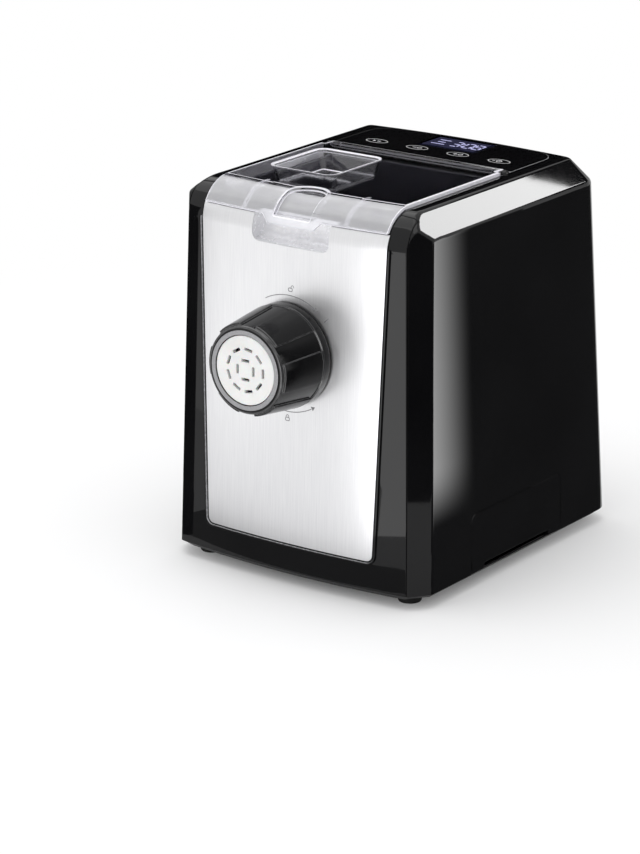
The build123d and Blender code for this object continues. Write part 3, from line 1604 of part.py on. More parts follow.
# Motor saddle: cradle between the pan and the motor's can
with BuildPart() as motor_saddle:
    saddle_top_z = motor_z - saddle_depth
    with BuildSketch(across(front_y + saddle_y + saddle_length)):
        with Locations((motor_x, (pan_floor_z + saddle_top_z) / 2)):
            Rectangle(2 * saddle_half, saddle_top_z - pan_floor_z)
        with Locations(motor_spot):
            Circle(motor_radius + seat_gap, mode=Mode.SUBTRACT)
    extrude(amount=saddle_length)
save(motor_saddle, "motor_saddle")

# Power board on the pan's posts, with its choke and capacitors
power_y = front_y + power_board_y
with BuildPart() as power_board:
    with BuildSketch(Plane.XY.offset(power_board_z)):
        with Locations((power_board_x, power_y)):
            Rectangle(power_board_width, power_board_length)
    extrude(amount=board_thickness)
    with BuildSketch(Plane.XY.offset(power_board_z + board_thickness)):
        with Locations((power_board_x - choke_size, power_y)):
            Rectangle(choke_size, choke_size)
    extrude(amount=choke_height)
    with BuildSketch(Plane.XY.offset(power_board_z + board_thickness)):
        with Locations((power_board_x + choke_size, power_y)):
            with GridLocations(capacitor_spread, capacitor_spread, 1, 2):
                Circle(capacitor_radius)
    extrude(amount=capacitor_height)
save(power_board, "power_board")


def round_bar(radius, y_start, y_end, axis_x, height):
    """A full cylinder about an axis along Y."""
    with BuildPart() as rod:
        with BuildSketch(across(y_end)):
            with Locations((axis_x, height)):
                Circle(radius)
        extrude(amount=y_end - y_start)
    return rod.part


def screw_along_y(x, z, seat_y, shank, facing):
    """A pan-head screw along Y: its head stands on the seat, towards +Y or -Y as facing says."""
    head_end = seat_y + facing * screw_head_height
    shank_end = seat_y - facing * shank
    with BuildPart() as screw:
        add(round_bar(screw_head_radius, min(seat_y, head_end), max(seat_y, head_end), x, z))
        add(round_bar(screw_shank_radius, min(seat_y, shank_end), max(seat_y, shank_end), x, z))
    return screw.part


# Screws, one node for each set
with BuildPart() as rear_cover_screws:
    for spot_x, spot_z in cover_screw_spots():
        add(screw_along_y(spot_x, spot_z, cover_seat_y(spot_x, spot_z), wall + cover_plate, 1))
save(rear_cover_screws, "rear_cover_screws")

with BuildPart() as gearbox_screws:
    for spot_x, spot_z in boss_spots:
        add(screw_along_y(spot_x, spot_z, gear_end_y, cover_thickness + boss_depth - screw_end_room, 1))
save(gearbox_screws, "gearbox_screws")

with BuildPart() as motor_screws:
    for spot_x, spot_z in motor_screw_spots:
        add(screw_along_y(spot_x, spot_z, gear_inner_y, gearbox_floor + motor_end - screw_end_room, 1))
save(motor_screws, "motor_screws")

with BuildPart() as barrel_screws:
    for spot_x, spot_z in barrel_screw_spots:
        barrel_screw_shank = barrel_flange + chamber_wall - screw_end_room
        add(screw_along_y(spot_x, spot_z, chamber_front_y - barrel_flange, barrel_screw_shank, -1))
save(barrel_screws, "barrel_screws")

with BuildPart() as leg_screws:
    leg_seat_z = pan_floor_z + leg_flange_thickness
    with BuildSketch(Plane.XY.offset(leg_seat_z)):
        with Locations(*leg_screw_spots):
            Circle(screw_head_radius)
    extrude(amount=screw_head_height)
    with BuildSketch(Plane.XY.offset(leg_seat_z)):
        with Locations(*leg_screw_spots):
            Circle(screw_shank_radius)
    extrude(amount=screw_end_room - leg_flange_thickness - pan_floor)
save(leg_screws, "leg_screws")
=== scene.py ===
"""Looks of the electric pasta machine: finishes, softened edges, trim, prints and studio."""
import json
from math import cos, radians, sin

import bpy
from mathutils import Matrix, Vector

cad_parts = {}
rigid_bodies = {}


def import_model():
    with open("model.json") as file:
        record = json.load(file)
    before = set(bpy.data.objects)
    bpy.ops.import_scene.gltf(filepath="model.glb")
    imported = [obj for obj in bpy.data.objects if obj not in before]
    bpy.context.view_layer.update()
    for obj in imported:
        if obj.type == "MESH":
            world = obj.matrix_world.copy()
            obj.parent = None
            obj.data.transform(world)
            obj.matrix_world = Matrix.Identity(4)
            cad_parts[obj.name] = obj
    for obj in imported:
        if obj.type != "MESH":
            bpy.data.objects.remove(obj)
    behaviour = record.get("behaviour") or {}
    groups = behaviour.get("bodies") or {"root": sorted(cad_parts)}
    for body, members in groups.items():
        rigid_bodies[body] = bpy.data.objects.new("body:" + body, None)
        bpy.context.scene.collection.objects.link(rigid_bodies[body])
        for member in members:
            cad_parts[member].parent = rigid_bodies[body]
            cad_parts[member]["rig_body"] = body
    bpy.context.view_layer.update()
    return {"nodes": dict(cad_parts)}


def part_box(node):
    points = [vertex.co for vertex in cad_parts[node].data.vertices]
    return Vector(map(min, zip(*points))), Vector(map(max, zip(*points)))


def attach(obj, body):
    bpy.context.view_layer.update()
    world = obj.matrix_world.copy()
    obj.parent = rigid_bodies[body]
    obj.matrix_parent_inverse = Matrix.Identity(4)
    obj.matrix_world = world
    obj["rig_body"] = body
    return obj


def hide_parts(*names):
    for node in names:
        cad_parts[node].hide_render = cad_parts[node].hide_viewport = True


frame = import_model()
slot_of = {node: piece.material_slots[0].material.name for node, piece in frame["nodes"].items()}


# Shared moves of modelling

def deselect_all():
    """Leave nothing selected, so that the next operator acts on its own piece alone."""
    bpy.ops.object.select_all(action="DESELECT")


def work_on(piece):
    """Make one piece the only selected and active one."""
    deselect_all()
    piece.select_set(True)
    bpy.context.view_layer.objects.active = piece


def start_editing(piece):
    """Open one piece in edit mode with all of it selected."""
    work_on(piece)
    bpy.ops.object.mode_set(mode="EDIT")
    bpy.ops.mesh.select_all(action="SELECT")


def stop_editing():
    """Go back to object mode."""
    bpy.ops.object.mode_set(mode="OBJECT")


def clear_selection(piece, kind):
    """Leave no corner or face of a piece selected, and set the kind that is picked next."""
    start_editing(piece)
    bpy.ops.mesh.select_mode(type=kind)
    bpy.ops.mesh.select_all(action="DESELECT")
    stop_editing()


def set_in_place(piece):
    """Move a piece's place, turn and scale into its mesh."""
    work_on(piece)
    bpy.ops.object.transform_apply(location=True, rotation=True, scale=True)


def apply_modifier(piece, kind, **settings):
    """Add a modifier with its settings and apply it."""
    work_on(piece)
    modifier = piece.modifiers.new(kind.lower(), kind)
    for setting, value in settings.items():
        setattr(modifier, setting, value)
    bpy.ops.object.modifier_apply(modifier=modifier.name)


def joined(pieces):
    """One piece out of several."""
    deselect_all()
    for piece in pieces:
        piece.select_set(True)
    bpy.context.view_layer.objects.active = pieces[0]
    bpy.ops.object.join()
    return pieces[0]


def finish_piece(piece, name, body, finish):
    """Name a new piece, give it its finish and let it ride on its body."""
    piece.name = name
    piece.data.name = name
    if piece.data.materials:
        piece.data.materials[0] = finish
    else:
        piece.data.materials.append(finish)
    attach(piece, body)


# Finishes

# Most of a pattern's values lie between these two.
pattern_low = 0.3
pattern_high = 0.7
even_stretch = (1.0, 1.0, 1.0)
clear_plastic_ior = 1.49


def shader_of(finish):
    """The Principled shader of a finish."""
    return finish.node_tree.nodes["Principled BSDF"]


def new_finish(name, colour, roughness, metallic=0.0, specular=0.5):
    """A material whose shader starts from even values, and which the detail is then linked to."""
    finish = bpy.data.materials.new(name + "_finish")
    finish.use_nodes = True
    shader = shader_of(finish)
    shader.inputs["Base Color"].default_value = (*colour, 1.0)
    shader.inputs["Roughness"].default_value = roughness
    shader.inputs["Metallic"].default_value = metallic
    shader.inputs["Specular IOR Level"].default_value = specular
    return finish


def place_pattern(finish, pattern, stretch=even_stretch):
    """Lay a pattern on the piece's own Object coordinates, stretched along its axes."""
    nodes = finish.node_tree.nodes
    links = finish.node_tree.links
    coordinates = nodes.new("ShaderNodeTexCoord")
    mapping = nodes.new("ShaderNodeMapping")
    mapping.inputs["Scale"].default_value = stretch
    links.new(coordinates.outputs["Object"], mapping.inputs["Vector"])
    links.new(mapping.outputs["Vector"], pattern.inputs["Vector"])


def noise_pattern(finish, scale, detail=3.0, stretch=even_stretch):
    """A cloudy or grainy pattern; the scale counts grains to the metre."""
    pattern = finish.node_tree.nodes.new("ShaderNodeTexNoise")
    pattern.inputs["Scale"].default_value = scale
    pattern.inputs["Detail"].default_value = detail
    place_pattern(finish, pattern, stretch)
    return pattern.outputs["Fac"]


def band_pattern(finish, scale, direction, waviness=0.0):
    """A pattern of even bands across one axis, as turning or winding leaves them."""
    pattern = finish.node_tree.nodes.new("ShaderNodeTexWave")
    pattern.bands_direction = direction
    pattern.inputs["Scale"].default_value = scale
    pattern.inputs["Distortion"].default_value = waviness
    place_pattern(finish, pattern)
    return pattern.outputs["Fac"]


def spangle_pattern(finish, scale):
    """A pattern of flat cells, as zinc coating or a moulded grain shows."""
    pattern = finish.node_tree.nodes.new("ShaderNodeTexVoronoi")
    pattern.inputs["Scale"].default_value = scale
    place_pattern(finish, pattern)
    return pattern.outputs["Distance"]


def spread_roughness(finish, pattern, smooth, rough):
    """Let the roughness wander between two values with the pattern."""
    spread = finish.node_tree.nodes.new("ShaderNodeMapRange")
    spread.inputs["From Min"].default_value = pattern_low
    spread.inputs["From Max"].default_value = pattern_high
    spread.inputs["To Min"].default_value = smooth
    spread.inputs["To Max"].default_value = rough
    finish.node_tree.links.new(pattern, spread.inputs["Value"])
    finish.node_tree.links.new(spread.outputs["Result"], shader_of(finish).inputs["Roughness"])


def spread_colour(finish, pattern, dark, light):
    """Let the colour wander between two values with the pattern."""
    ramp = finish.node_tree.nodes.new("ShaderNodeValToRGB")
    ramp.color_ramp.elements[0].position = pattern_low
    ramp.color_ramp.elements[0].color = (*dark, 1.0)
    ramp.color_ramp.elements[1].position = pattern_high
    ramp.color_ramp.elements[1].color = (*light, 1.0)
    finish.node_tree.links.new(pattern, ramp.inputs["Fac"])
    finish.node_tree.links.new(ramp.outputs["Color"], shader_of(finish).inputs["Base Color"])


def raise_grain(finish, pattern, depth, strength):
    """Raise the pattern as a fine relief of the given depth."""
    relief = finish.node_tree.nodes.new("ShaderNodeBump")
    relief.inputs["Distance"].default_value = depth
    relief.inputs["Strength"].default_value = strength
    finish.node_tree.links.new(pattern, relief.inputs["Height"])
    finish.node_tree.links.new(relief.outputs["Normal"], shader_of(finish).inputs["Normal"])


def let_light_through(finish, share):
    """Let a share of the light pass, bent as the lid's clear plastic bends it."""
    shader = shader_of(finish)
    shader.inputs["Transmission Weight"].default_value = share
    shader.inputs["IOR"].default_value = clear_plastic_ior


def gloss_black_finish():
    """Injection-moulded gloss black with a trace of flow and handling marks."""
    finish = new_finish("gloss_black", (0.004, 0.004, 0.0045), 0.09, specular=0.25)
    spread_roughness(finish, noise_pattern(finish, 26.0, 6.0), 0.025, 0.055)
    spread_colour(finish, noise_pattern(finish, 9.0), (0.0032, 0.0032, 0.0036), (0.0052, 0.0052, 0.0057))
    raise_grain(finish, noise_pattern(finish, 70.0, 1.0), 0.00002, 0.05)
    return finish


def nut_black_finish():
    """Gloss black of the locking nut, a little duller from handling."""
    finish = new_finish("nut_black", (0.003, 0.003, 0.0034), 0.16, specular=0.2)
    spread_roughness(finish, noise_pattern(finish, 60.0, 6.0), 0.12, 0.22)
    spread_colour(finish, noise_pattern(finish, 30.0), (0.0026, 0.0026, 0.003), (0.004, 0.004, 0.0045))
    raise_grain(finish, noise_pattern(finish, 120.0, 1.0), 0.00002, 0.12)
    return finish


def satin_black_finish():
    """Spark-eroded black moulding."""
    finish = new_finish("satin_black", (0.011, 0.011, 0.012), 0.5, specular=0.3)
    spread_colour(finish, noise_pattern(finish, 30.0), (0.009, 0.009, 0.010), (0.014, 0.014, 0.015))
    spread_roughness(finish, noise_pattern(finish, 1400.0, 2.0), 0.42, 0.58)
    raise_grain(finish, spangle_pattern(finish, 1600.0), 0.00006, 0.4)
    return finish


def brushed_panel_finish():
    """Stainless sheet, brushed upright."""
    finish = new_finish("brushed_panel", (0.74, 0.74, 0.75), 0.34, metallic=1.0)
    lines = noise_pattern(finish, 40.0, 8.0, (60.0, 1.0, 1.0))
    spread_colour(finish, lines, (0.70, 0.70, 0.715), (0.77, 0.77, 0.78))
    spread_roughness(finish, noise_pattern(finish, 55.0, 6.0, (50.0, 1.0, 1.0)), 0.30, 0.38)
    raise_grain(finish, lines, 0.00003, 0.1)
    return finish


def silver_trim_finish():
    """Silver lacquered moulding, smooth with a faint flake."""
    finish = new_finish("silver_trim", (0.72, 0.72, 0.73), 0.2, metallic=0.9)
    spread_colour(finish, noise_pattern(finish, 2200.0, 2.0), (0.70, 0.70, 0.71), (0.74, 0.74, 0.75))
    spread_roughness(finish, noise_pattern(finish, 90.0), 0.17, 0.24)
    return finish


def pocket_pale_finish():
    """Pale lacquer of the finger pocket under the lid's tab."""
    finish = new_finish("pocket_pale", (0.86, 0.86, 0.88), 0.24, metallic=0.25)
    spread_colour(finish, noise_pattern(finish, 120.0), (0.82, 0.82, 0.84), (0.90, 0.90, 0.92))
    spread_roughness(finish, noise_pattern(finish, 300.0), 0.20, 0.30)
    return finish


def lip_flank_painted_reflection_finish():
    """The lip's inner flank in pale silver: a painted reflection of the steel beside it."""
    finish = new_finish("lip_silver", (0.58, 0.58, 0.60), 0.26, metallic=0.4)
    spread_colour(finish, noise_pattern(finish, 180.0), (0.54, 0.54, 0.56), (0.62, 0.62, 0.64))
    spread_roughness(finish, noise_pattern(finish, 400.0), 0.22, 0.32)
    return finish


def ring_grey_finish():
    """Grey lacquered trim ring with a turned grain."""
    finish = new_finish("ring_grey", (0.30, 0.30, 0.31), 0.34, metallic=0.6)
    spread_colour(finish, noise_pattern(finish, 900.0, 2.0), (0.26, 0.26, 0.27), (0.34, 0.34, 0.35))
    spread_roughness(finish, noise_pattern(finish, 300.0), 0.28, 0.42)
    return finish


def clear_lid_finish():
    """Water-clear lid plastic with faint flow lines."""
    finish = new_finish("clear_lid", (0.97, 0.97, 0.985), 0.03, specular=0.5)
    let_light_through(finish, 1.0)
    spread_roughness(finish, noise_pattern(finish, 60.0, 4.0), 0.015, 0.06)
    raise_grain(finish, noise_pattern(finish, 34.0, 2.0), 0.00008, 0.12)
    return finish


def lid_edge_painted_light_finish():
    """The lid's cut and moulded edges in a pale lilac colour: painted light, standing in for the light
    that clear plastic gathers there.
    """
    finish = new_finish("lid_edge", (0.90, 0.89, 0.95), 0.22, specular=0.5)
    let_light_through(finish, 0.12)
    spread_colour(finish, noise_pattern(finish, 140.0, 3.0), (0.86, 0.85, 0.92), (0.93, 0.92, 0.97))
    spread_roughness(finish, noise_pattern(finish, 300.0), 0.16, 0.3)
    return finish


def lid_front_painted_reflection_finish():
    """The lid's bent front, milky with a fine relief: its pale colour is a painted reflection of the
    bright studio light on the bend.
    """
    finish = new_finish("lid_haze", (0.92, 0.92, 0.96), 0.14, specular=0.5)
    let_light_through(finish, 0.64)
    spread_colour(finish, noise_pattern(finish, 90.0, 4.0), (0.88, 0.88, 0.92), (0.95, 0.95, 0.98))
    spread_roughness(finish, noise_pattern(finish, 160.0, 4.0), 0.08, 0.20)
    raise_grain(finish, noise_pattern(finish, 700.0, 2.0), 0.00003, 0.15)
    return finish


def nut_edge_painted_highlight_finish():
    """The nut's edges in a lighter grey than the nut: painted highlights along its rounded edges."""
    finish = new_finish("nut_edge", (0.05, 0.05, 0.052), 0.12, specular=0.7)
    spread_colour(finish, noise_pattern(finish, 240.0, 3.0), (0.016, 0.016, 0.017), (0.05, 0.05, 0.052))
    spread_roughness(finish, noise_pattern(finish, 500.0), 0.08, 0.18)
    return finish


def panel_edge_painted_highlight_finish():
    """The control panel's rounded edge in pale grey: a painted highlight."""
    finish = new_finish("panel_edge", (0.55, 0.55, 0.57), 0.2, metallic=0.5)
    spread_colour(finish, noise_pattern(finish, 200.0), (0.48, 0.48, 0.50), (0.62, 0.62, 0.64))
    spread_roughness(finish, noise_pattern(finish, 500.0), 0.16, 0.26)
    return finish


def display_window_finish():
    """Smoked window over the display."""
    finish = new_finish("display_window", (0.004, 0.005, 0.012), 0.06, specular=0.2)
    spread_colour(finish, noise_pattern(finish, 60.0), (0.004, 0.005, 0.011), (0.008, 0.009, 0.024))
    spread_roughness(finish, noise_pattern(finish, 120.0), 0.04, 0.09)
    return finish


def chamber_grey_finish():
    """Dark grey food-safe moulding of chamber and barrel."""
    finish = new_finish("chamber_grey", (0.040, 0.040, 0.050), 0.35, specular=0.4)
    spread_colour(finish, noise_pattern(finish, 40.0), (0.050, 0.048, 0.064), (0.064, 0.062, 0.080))
    spread_roughness(finish, noise_pattern(finish, 300.0), 0.28, 0.42)
    raise_grain(finish, noise_pattern(finish, 900.0, 1.0), 0.00003, 0.2)
    return finish


def die_white_finish():
    """Milky die plastic."""
    finish = new_finish("die_white", (0.78, 0.78, 0.77), 0.38, specular=0.45)
    shader = shader_of(finish)
    shader.inputs["Subsurface Weight"].default_value = 0.15
    shader.inputs["Subsurface Scale"].default_value = 0.003
    spread_colour(finish, noise_pattern(finish, 50.0), (0.74, 0.74, 0.73), (0.82, 0.82, 0.81))
    spread_roughness(finish, noise_pattern(finish, 500.0), 0.32, 0.46)
    raise_grain(finish, noise_pattern(finish, 1200.0, 1.0), 0.00002, 0.2)
    return finish


def mixer_white_finish():
    """White screw and paddle plastic, matter than the die."""
    finish = new_finish("mixer_white", (0.70, 0.70, 0.68), 0.45, specular=0.4)
    spread_colour(finish, noise_pattern(finish, 35.0), (0.66, 0.66, 0.635), (0.74, 0.74, 0.72))
    spread_roughness(finish, noise_pattern(finish, 420.0), 0.38, 0.54)
    raise_grain(finish, noise_pattern(finish, 1000.0, 1.0), 0.00003, 0.25)
    return finish


def rubber_black_finish():
    """Soft rubber of feet, seal and gland."""
    finish = new_finish("rubber_black", (0.010, 0.010, 0.010), 0.8, specular=0.25)
    spread_colour(finish, noise_pattern(finish, 90.0), (0.008, 0.008, 0.008), (0.017, 0.017, 0.016))
    spread_roughness(finish, noise_pattern(finish, 1500.0), 0.7, 0.9)
    raise_grain(finish, noise_pattern(finish, 2200.0, 2.0), 0.00008, 0.4)
    return finish


def bare_steel_finish():
    """Turned and ground steel of shafts, pins, pinions and bearings."""
    finish = new_finish("bare_steel", (0.56, 0.56, 0.55), 0.3, metallic=1.0)
    spread_colour(finish, noise_pattern(finish, 90.0, 4.0), (0.50, 0.50, 0.49), (0.61, 0.61, 0.60))
    spread_roughness(finish, band_pattern(finish, 900.0, "Y", 1.5), 0.22, 0.38)
    return finish


def screw_steel_finish():
    """Zinc-plated screws."""
    finish = new_finish("screw_steel", (0.52, 0.52, 0.50), 0.35, metallic=1.0)
    spread_colour(finish, noise_pattern(finish, 260.0, 3.0), (0.44, 0.44, 0.42), (0.60, 0.60, 0.59))
    spread_roughness(finish, noise_pattern(finish, 700.0), 0.27, 0.45)
    return finish


def gear_nylon_finish():
    """Natural nylon gears."""
    finish = new_finish("gear_nylon", (0.66, 0.62, 0.51), 0.42, specular=0.45)
    spread_colour(finish, noise_pattern(finish, 45.0), (0.61, 0.57, 0.46), (0.70, 0.67, 0.57))
    spread_roughness(finish, noise_pattern(finish, 600.0), 0.34, 0.5)
    raise_grain(finish, noise_pattern(finish, 800.0, 1.0), 0.00003, 0.2)
    return finish


def gearbox_grey_finish():
    """Glass-filled gearbox moulding, where short fibres show as a fine streak."""
    finish = new_finish("gearbox_grey", (0.16, 0.165, 0.175), 0.55, specular=0.4)
    streaks = noise_pattern(finish, 500.0, 4.0, (1.0, 1.0, 0.25))
    spread_colour(finish, streaks, (0.13, 0.135, 0.145), (0.19, 0.195, 0.205))
    spread_roughness(finish, noise_pattern(finish, 500.0), 0.46, 0.64)
    raise_grain(finish, noise_pattern(finish, 1200.0, 2.0), 0.00005, 0.3)
    return finish


def motor_zinc_finish():
    """Galvanised motor can with its spangle."""
    finish = new_finish("motor_zinc", (0.58, 0.59, 0.60), 0.38, metallic=1.0)
    spread_colour(finish, spangle_pattern(finish, 160.0), (0.48, 0.49, 0.50), (0.66, 0.67, 0.68))
    spread_roughness(finish, spangle_pattern(finish, 140.0), 0.28, 0.48)
    return finish


def winding_copper_finish():
    """Enamelled copper winding, its turns side by side."""
    finish = new_finish("winding_copper", (0.46, 0.15, 0.05), 0.32, metallic=0.8)
    turns = band_pattern(finish, 420.0, "Z", 0.6)
    spread_colour(finish, turns, (0.30, 0.085, 0.028), (0.58, 0.21, 0.075))
    spread_roughness(finish, turns, 0.25, 0.45)
    raise_grain(finish, turns, 0.0004, 0.7)
    return finish


def rotor_iron_finish():
    """Stacked rotor laminations."""
    finish = new_finish("rotor_iron", (0.20, 0.19, 0.185), 0.45, metallic=1.0)
    sheets = band_pattern(finish, 620.0, "Y", 0.2)
    spread_colour(finish, sheets, (0.13, 0.12, 0.115), (0.27, 0.26, 0.255))
    spread_roughness(finish, noise_pattern(finish, 240.0), 0.36, 0.56)
    raise_grain(finish, sheets, 0.00015, 0.5)
    return finish


def fan_black_finish():
    """Plain black moulding of fan and switch."""
    finish = new_finish("fan_black", (0.013, 0.013, 0.014), 0.4, specular=0.4)
    spread_colour(finish, noise_pattern(finish, 60.0), (0.010, 0.010, 0.011), (0.017, 0.017, 0.018))
    spread_roughness(finish, noise_pattern(finish, 500.0), 0.32, 0.48)
    return finish


def plunger_white_finish():
    """White acetal plunger."""
    finish = new_finish("plunger_white", (0.74, 0.74, 0.72), 0.3, specular=0.5)
    spread_colour(finish, noise_pattern(finish, 200.0), (0.70, 0.70, 0.68), (0.78, 0.78, 0.76))
    spread_roughness(finish, noise_pattern(finish, 900.0), 0.24, 0.38)
    return finish


def board_green_finish():
    """Solder resist over copper tracks."""
    finish = new_finish("board_green", (0.012, 0.10, 0.045), 0.35, specular=0.5)
    tracks = finish.node_tree.nodes.new("ShaderNodeTexBrick")
    tracks.inputs["Scale"].default_value = 90.0
    tracks.inputs["Color1"].default_value = (0.008, 0.075, 0.034, 1.0)
    tracks.inputs["Color2"].default_value = (0.012, 0.10, 0.045, 1.0)
    tracks.inputs["Mortar"].default_value = (0.03, 0.19, 0.085, 1.0)
    tracks.inputs["Mortar Size"].default_value = 0.05
    place_pattern(finish, tracks)
    finish.node_tree.links.new(tracks.outputs["Color"], shader_of(finish).inputs["Base Color"])
    spread_roughness(finish, noise_pattern(finish, 400.0), 0.28, 0.42)
    return finish


def module_dark_finish():
    """Dark frame of the display module."""
    finish = new_finish("module_dark", (0.008, 0.009, 0.016), 0.4, specular=0.3)
    spread_colour(finish, noise_pattern(finish, 120.0), (0.006, 0.007, 0.012), (0.012, 0.013, 0.024))
    spread_roughness(finish, noise_pattern(finish, 600.0), 0.32, 0.5)
    return finish


finishes = {
    "gloss_black": gloss_black_finish(),
    "satin_black": satin_black_finish(),
    "brushed_panel": brushed_panel_finish(),
    "silver_trim": silver_trim_finish(),
    "ring_grey": ring_grey_finish(),
    "clear_lid": clear_lid_finish(),
    "display_window": display_window_finish(),
    "chamber_grey": chamber_grey_finish(),
    "die_white": die_white_finish(),
    "mixer_white": mixer_white_finish(),
    "rubber_black": rubber_black_finish(),
    "bare_steel": bare_steel_finish(),
    "screw_steel": screw_steel_finish(),
    "gear_nylon": gear_nylon_finish(),
    "gearbox_grey": gearbox_grey_finish(),
    "motor_zinc": motor_zinc_finish(),
    "winding_copper": winding_copper_finish(),
    "rotor_iron": rotor_iron_finish(),
    "fan_black": fan_black_finish(),
    "plunger_white": plunger_white_finish(),
    "board_green": board_green_finish(),
    "module_dark": module_dark_finish(),
}
for node, piece in frame["nodes"].items():
    for place in piece.material_slots:
        place.material = finishes[slot_of[node]]


# Softened edges

merge_reach = 0.00005
flat_angle = 0.4
sharp_angle = 30.0
smooth_angle = 40.0
edge_steps = 2
# Place of the edges' finish, which paints highlights on them, in a piece's list of finishes.
painted_edge_place = 1
edge_widths = {
    "housing": 0.0005,
    "front_bezel": 0.0008,
    "front_panel": 0.0003,
    "control_panel": 0.0006,
    "die_nut": 0.0006,
    "die": 0.0004,
    "lid": 0.0007,
    "finger_pocket": 0.0005,
    "drawer": 0.0005,
    "rear_cover": 0.0006,
    "base_pan": 0.0006,
    "feet": 0.0008,
    "mixing_chamber": 0.0006,
}
# Where the drawer's finger scoop lies, how much of its height stays, and the lean of the wall.
scoop_ends = (-0.0231, 0.0651)
scoop_back = 0.1029
scoop_top = 0.0318
notch_share = 0.22
side_slope = 0.0232
drawer_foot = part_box("drawer")[0].z


def smooth_out(piece):
    """Shade a piece smoothly between its small steps and keep its flat faces flat."""
    work_on(piece)
    bpy.ops.object.shade_smooth_by_angle(angle=radians(smooth_angle))
    apply_modifier(piece, "WEIGHTED_NORMAL", mode="FACE_AREA", weight=50, keep_sharp=True)


def lower_scoop(drawer):
    """Draw the drawer's finger scoop down to the low notch that shows under its front edge."""
    for corner in drawer.data.vertices:
        between_ends = scoop_ends[0] < corner.co.y < scoop_ends[1]
        if between_ends and corner.co.x > scoop_back and corner.co.z < scoop_top:
            drop = (1.0 - notch_share) * (corner.co.z - drawer_foot)
            corner.co.z -= drop
            corner.co.x += side_slope * drop


def keep_above_foot(drawer):
    """Lift what the rounded edges push below the drawer's foot back up to it."""
    for corner in drawer.data.vertices:
        corner.co.z = max(corner.co.z, drawer_foot)


def dressed_copy(node, width, finish=None, painted_edge_finish=None, reshape=None):
    """A copy of a node whose sharp edges get the small radius that moulding or pressing leaves.

    It may have a finish of its own, another one that paints highlights on its edges, and a new shape
    before they are rounded.
    """
    source = frame["nodes"][node]
    piece = bpy.data.objects.new(node + "_dressed", source.data.copy())
    bpy.context.scene.collection.objects.link(piece)
    start_editing(piece)
    bpy.ops.mesh.customdata_custom_splitnormals_clear()
    bpy.ops.mesh.remove_doubles(threshold=merge_reach)
    bpy.ops.mesh.dissolve_degenerate(threshold=merge_reach)
    bpy.ops.mesh.select_all(action="SELECT")
    bpy.ops.mesh.dissolve_limited(angle_limit=radians(flat_angle))
    stop_editing()
    if reshape:
        reshape(piece)
    # An edge finish paints highlights on the rounded edges that the bevel makes.
    if painted_edge_finish:
        piece.data.materials.append(painted_edge_finish)
    apply_modifier(piece, "BEVEL", width=width, segments=edge_steps, limit_method="ANGLE",
                   angle_limit=radians(sharp_angle), use_clamp_overlap=False,
                   miter_outer="MITER_ARC", material=painted_edge_place if painted_edge_finish else -1)
    smooth_out(piece)
    slot = slot_of[node]
    finish_piece(piece, node + "_dressed", source["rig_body"], finish or finishes[slot])
    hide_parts(node)
    return piece


own_finishes = {"die_nut": nut_black_finish(), "finger_pocket": pocket_pale_finish()}
# Edge finishes that paint highlights on the rounded edges of these pieces.
painted_edge_finishes = {
    "lid": lid_edge_painted_light_finish(),
    "control_panel": panel_edge_painted_highlight_finish(),
    "die_nut": nut_edge_painted_highlight_finish(),
}
reshapes = {"drawer": lower_scoop}
dressed = {}
for node, width in edge_widths.items():
    dressed[node] = dressed_copy(node, width, own_finishes.get(node), painted_edge_finishes.get(node),
                                 reshapes.get(node))
keep_above_foot(dressed["drawer"])


# Rim and milky front of the lid, both in painted light

# Place of the milky finish, a painted reflection, in the lid's list of finishes.
painted_reflection_place = 2
flush_reach = 0.00005
rim_width = 0.0014
wall_reach = 0.0026
bend_reach = 0.030
level_normal = 0.99
upright_normal = 0.4
bent_normal = 0.15


def rim_lid(lid):
    """Draw the rim of the lid's flat top, round its outline and tray, in the finish of its edges, which
    paints light there.
    """
    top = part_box("lid")[1].z
    clear_selection(lid, "FACE")
    for face in lid.data.polygons:
        face.select = face.normal.z > level_normal and face.center.z > top - flush_reach
    bpy.ops.object.mode_set(mode="EDIT")
    bpy.ops.mesh.inset(thickness=rim_width, depth=0.0, use_select_inset=True)
    stop_editing()
    for face in lid.data.polygons:
        if face.select:
            face.material_index = painted_edge_place
    for corner in lid.data.vertices:
        corner.co.z = min(corner.co.z, top)
    smooth_out(lid)


def paint_lid_light(lid):
    """Give the lid's upright outer walls the finish of its edges and its bent front a milky one: both
    are painted light.
    """
    lid.data.materials.append(lid_front_painted_reflection_finish())
    low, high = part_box("lid")
    for face in lid.data.polygons:
        upright = abs(face.normal.z) < upright_normal
        at_side = abs(face.center.x) > high.x - wall_reach
        at_back = face.center.y > high.y - wall_reach
        bent_front = face.normal.y < -bent_normal and face.center.y < low.y + bend_reach
        if upright and (at_side or at_back):
            face.material_index = painted_edge_place
        elif bent_front and face.material_index == 0:
            face.material_index = painted_reflection_place


rim_lid(dressed["lid"])
paint_lid_light(dressed["lid"])


# Cross recesses of the rear screws

screw_edge = 0.0007
screw_x = 0.0825
screw_heads = ((0.14613, 0.19257), (0.15507, 0.07043))
recess_length = 0.0036
recess_width = 0.0009
recess_depth = 0.0010


def recess_bar(place, width, height):
    """A small bar that cuts one slot of a cross recess."""
    deselect_all()
    bpy.ops.mesh.primitive_cube_add(size=1.0, location=place)
    bar = bpy.context.object
    bar.scale = (width, 2.0 * recess_depth, height)
    set_in_place(bar)
    return bar


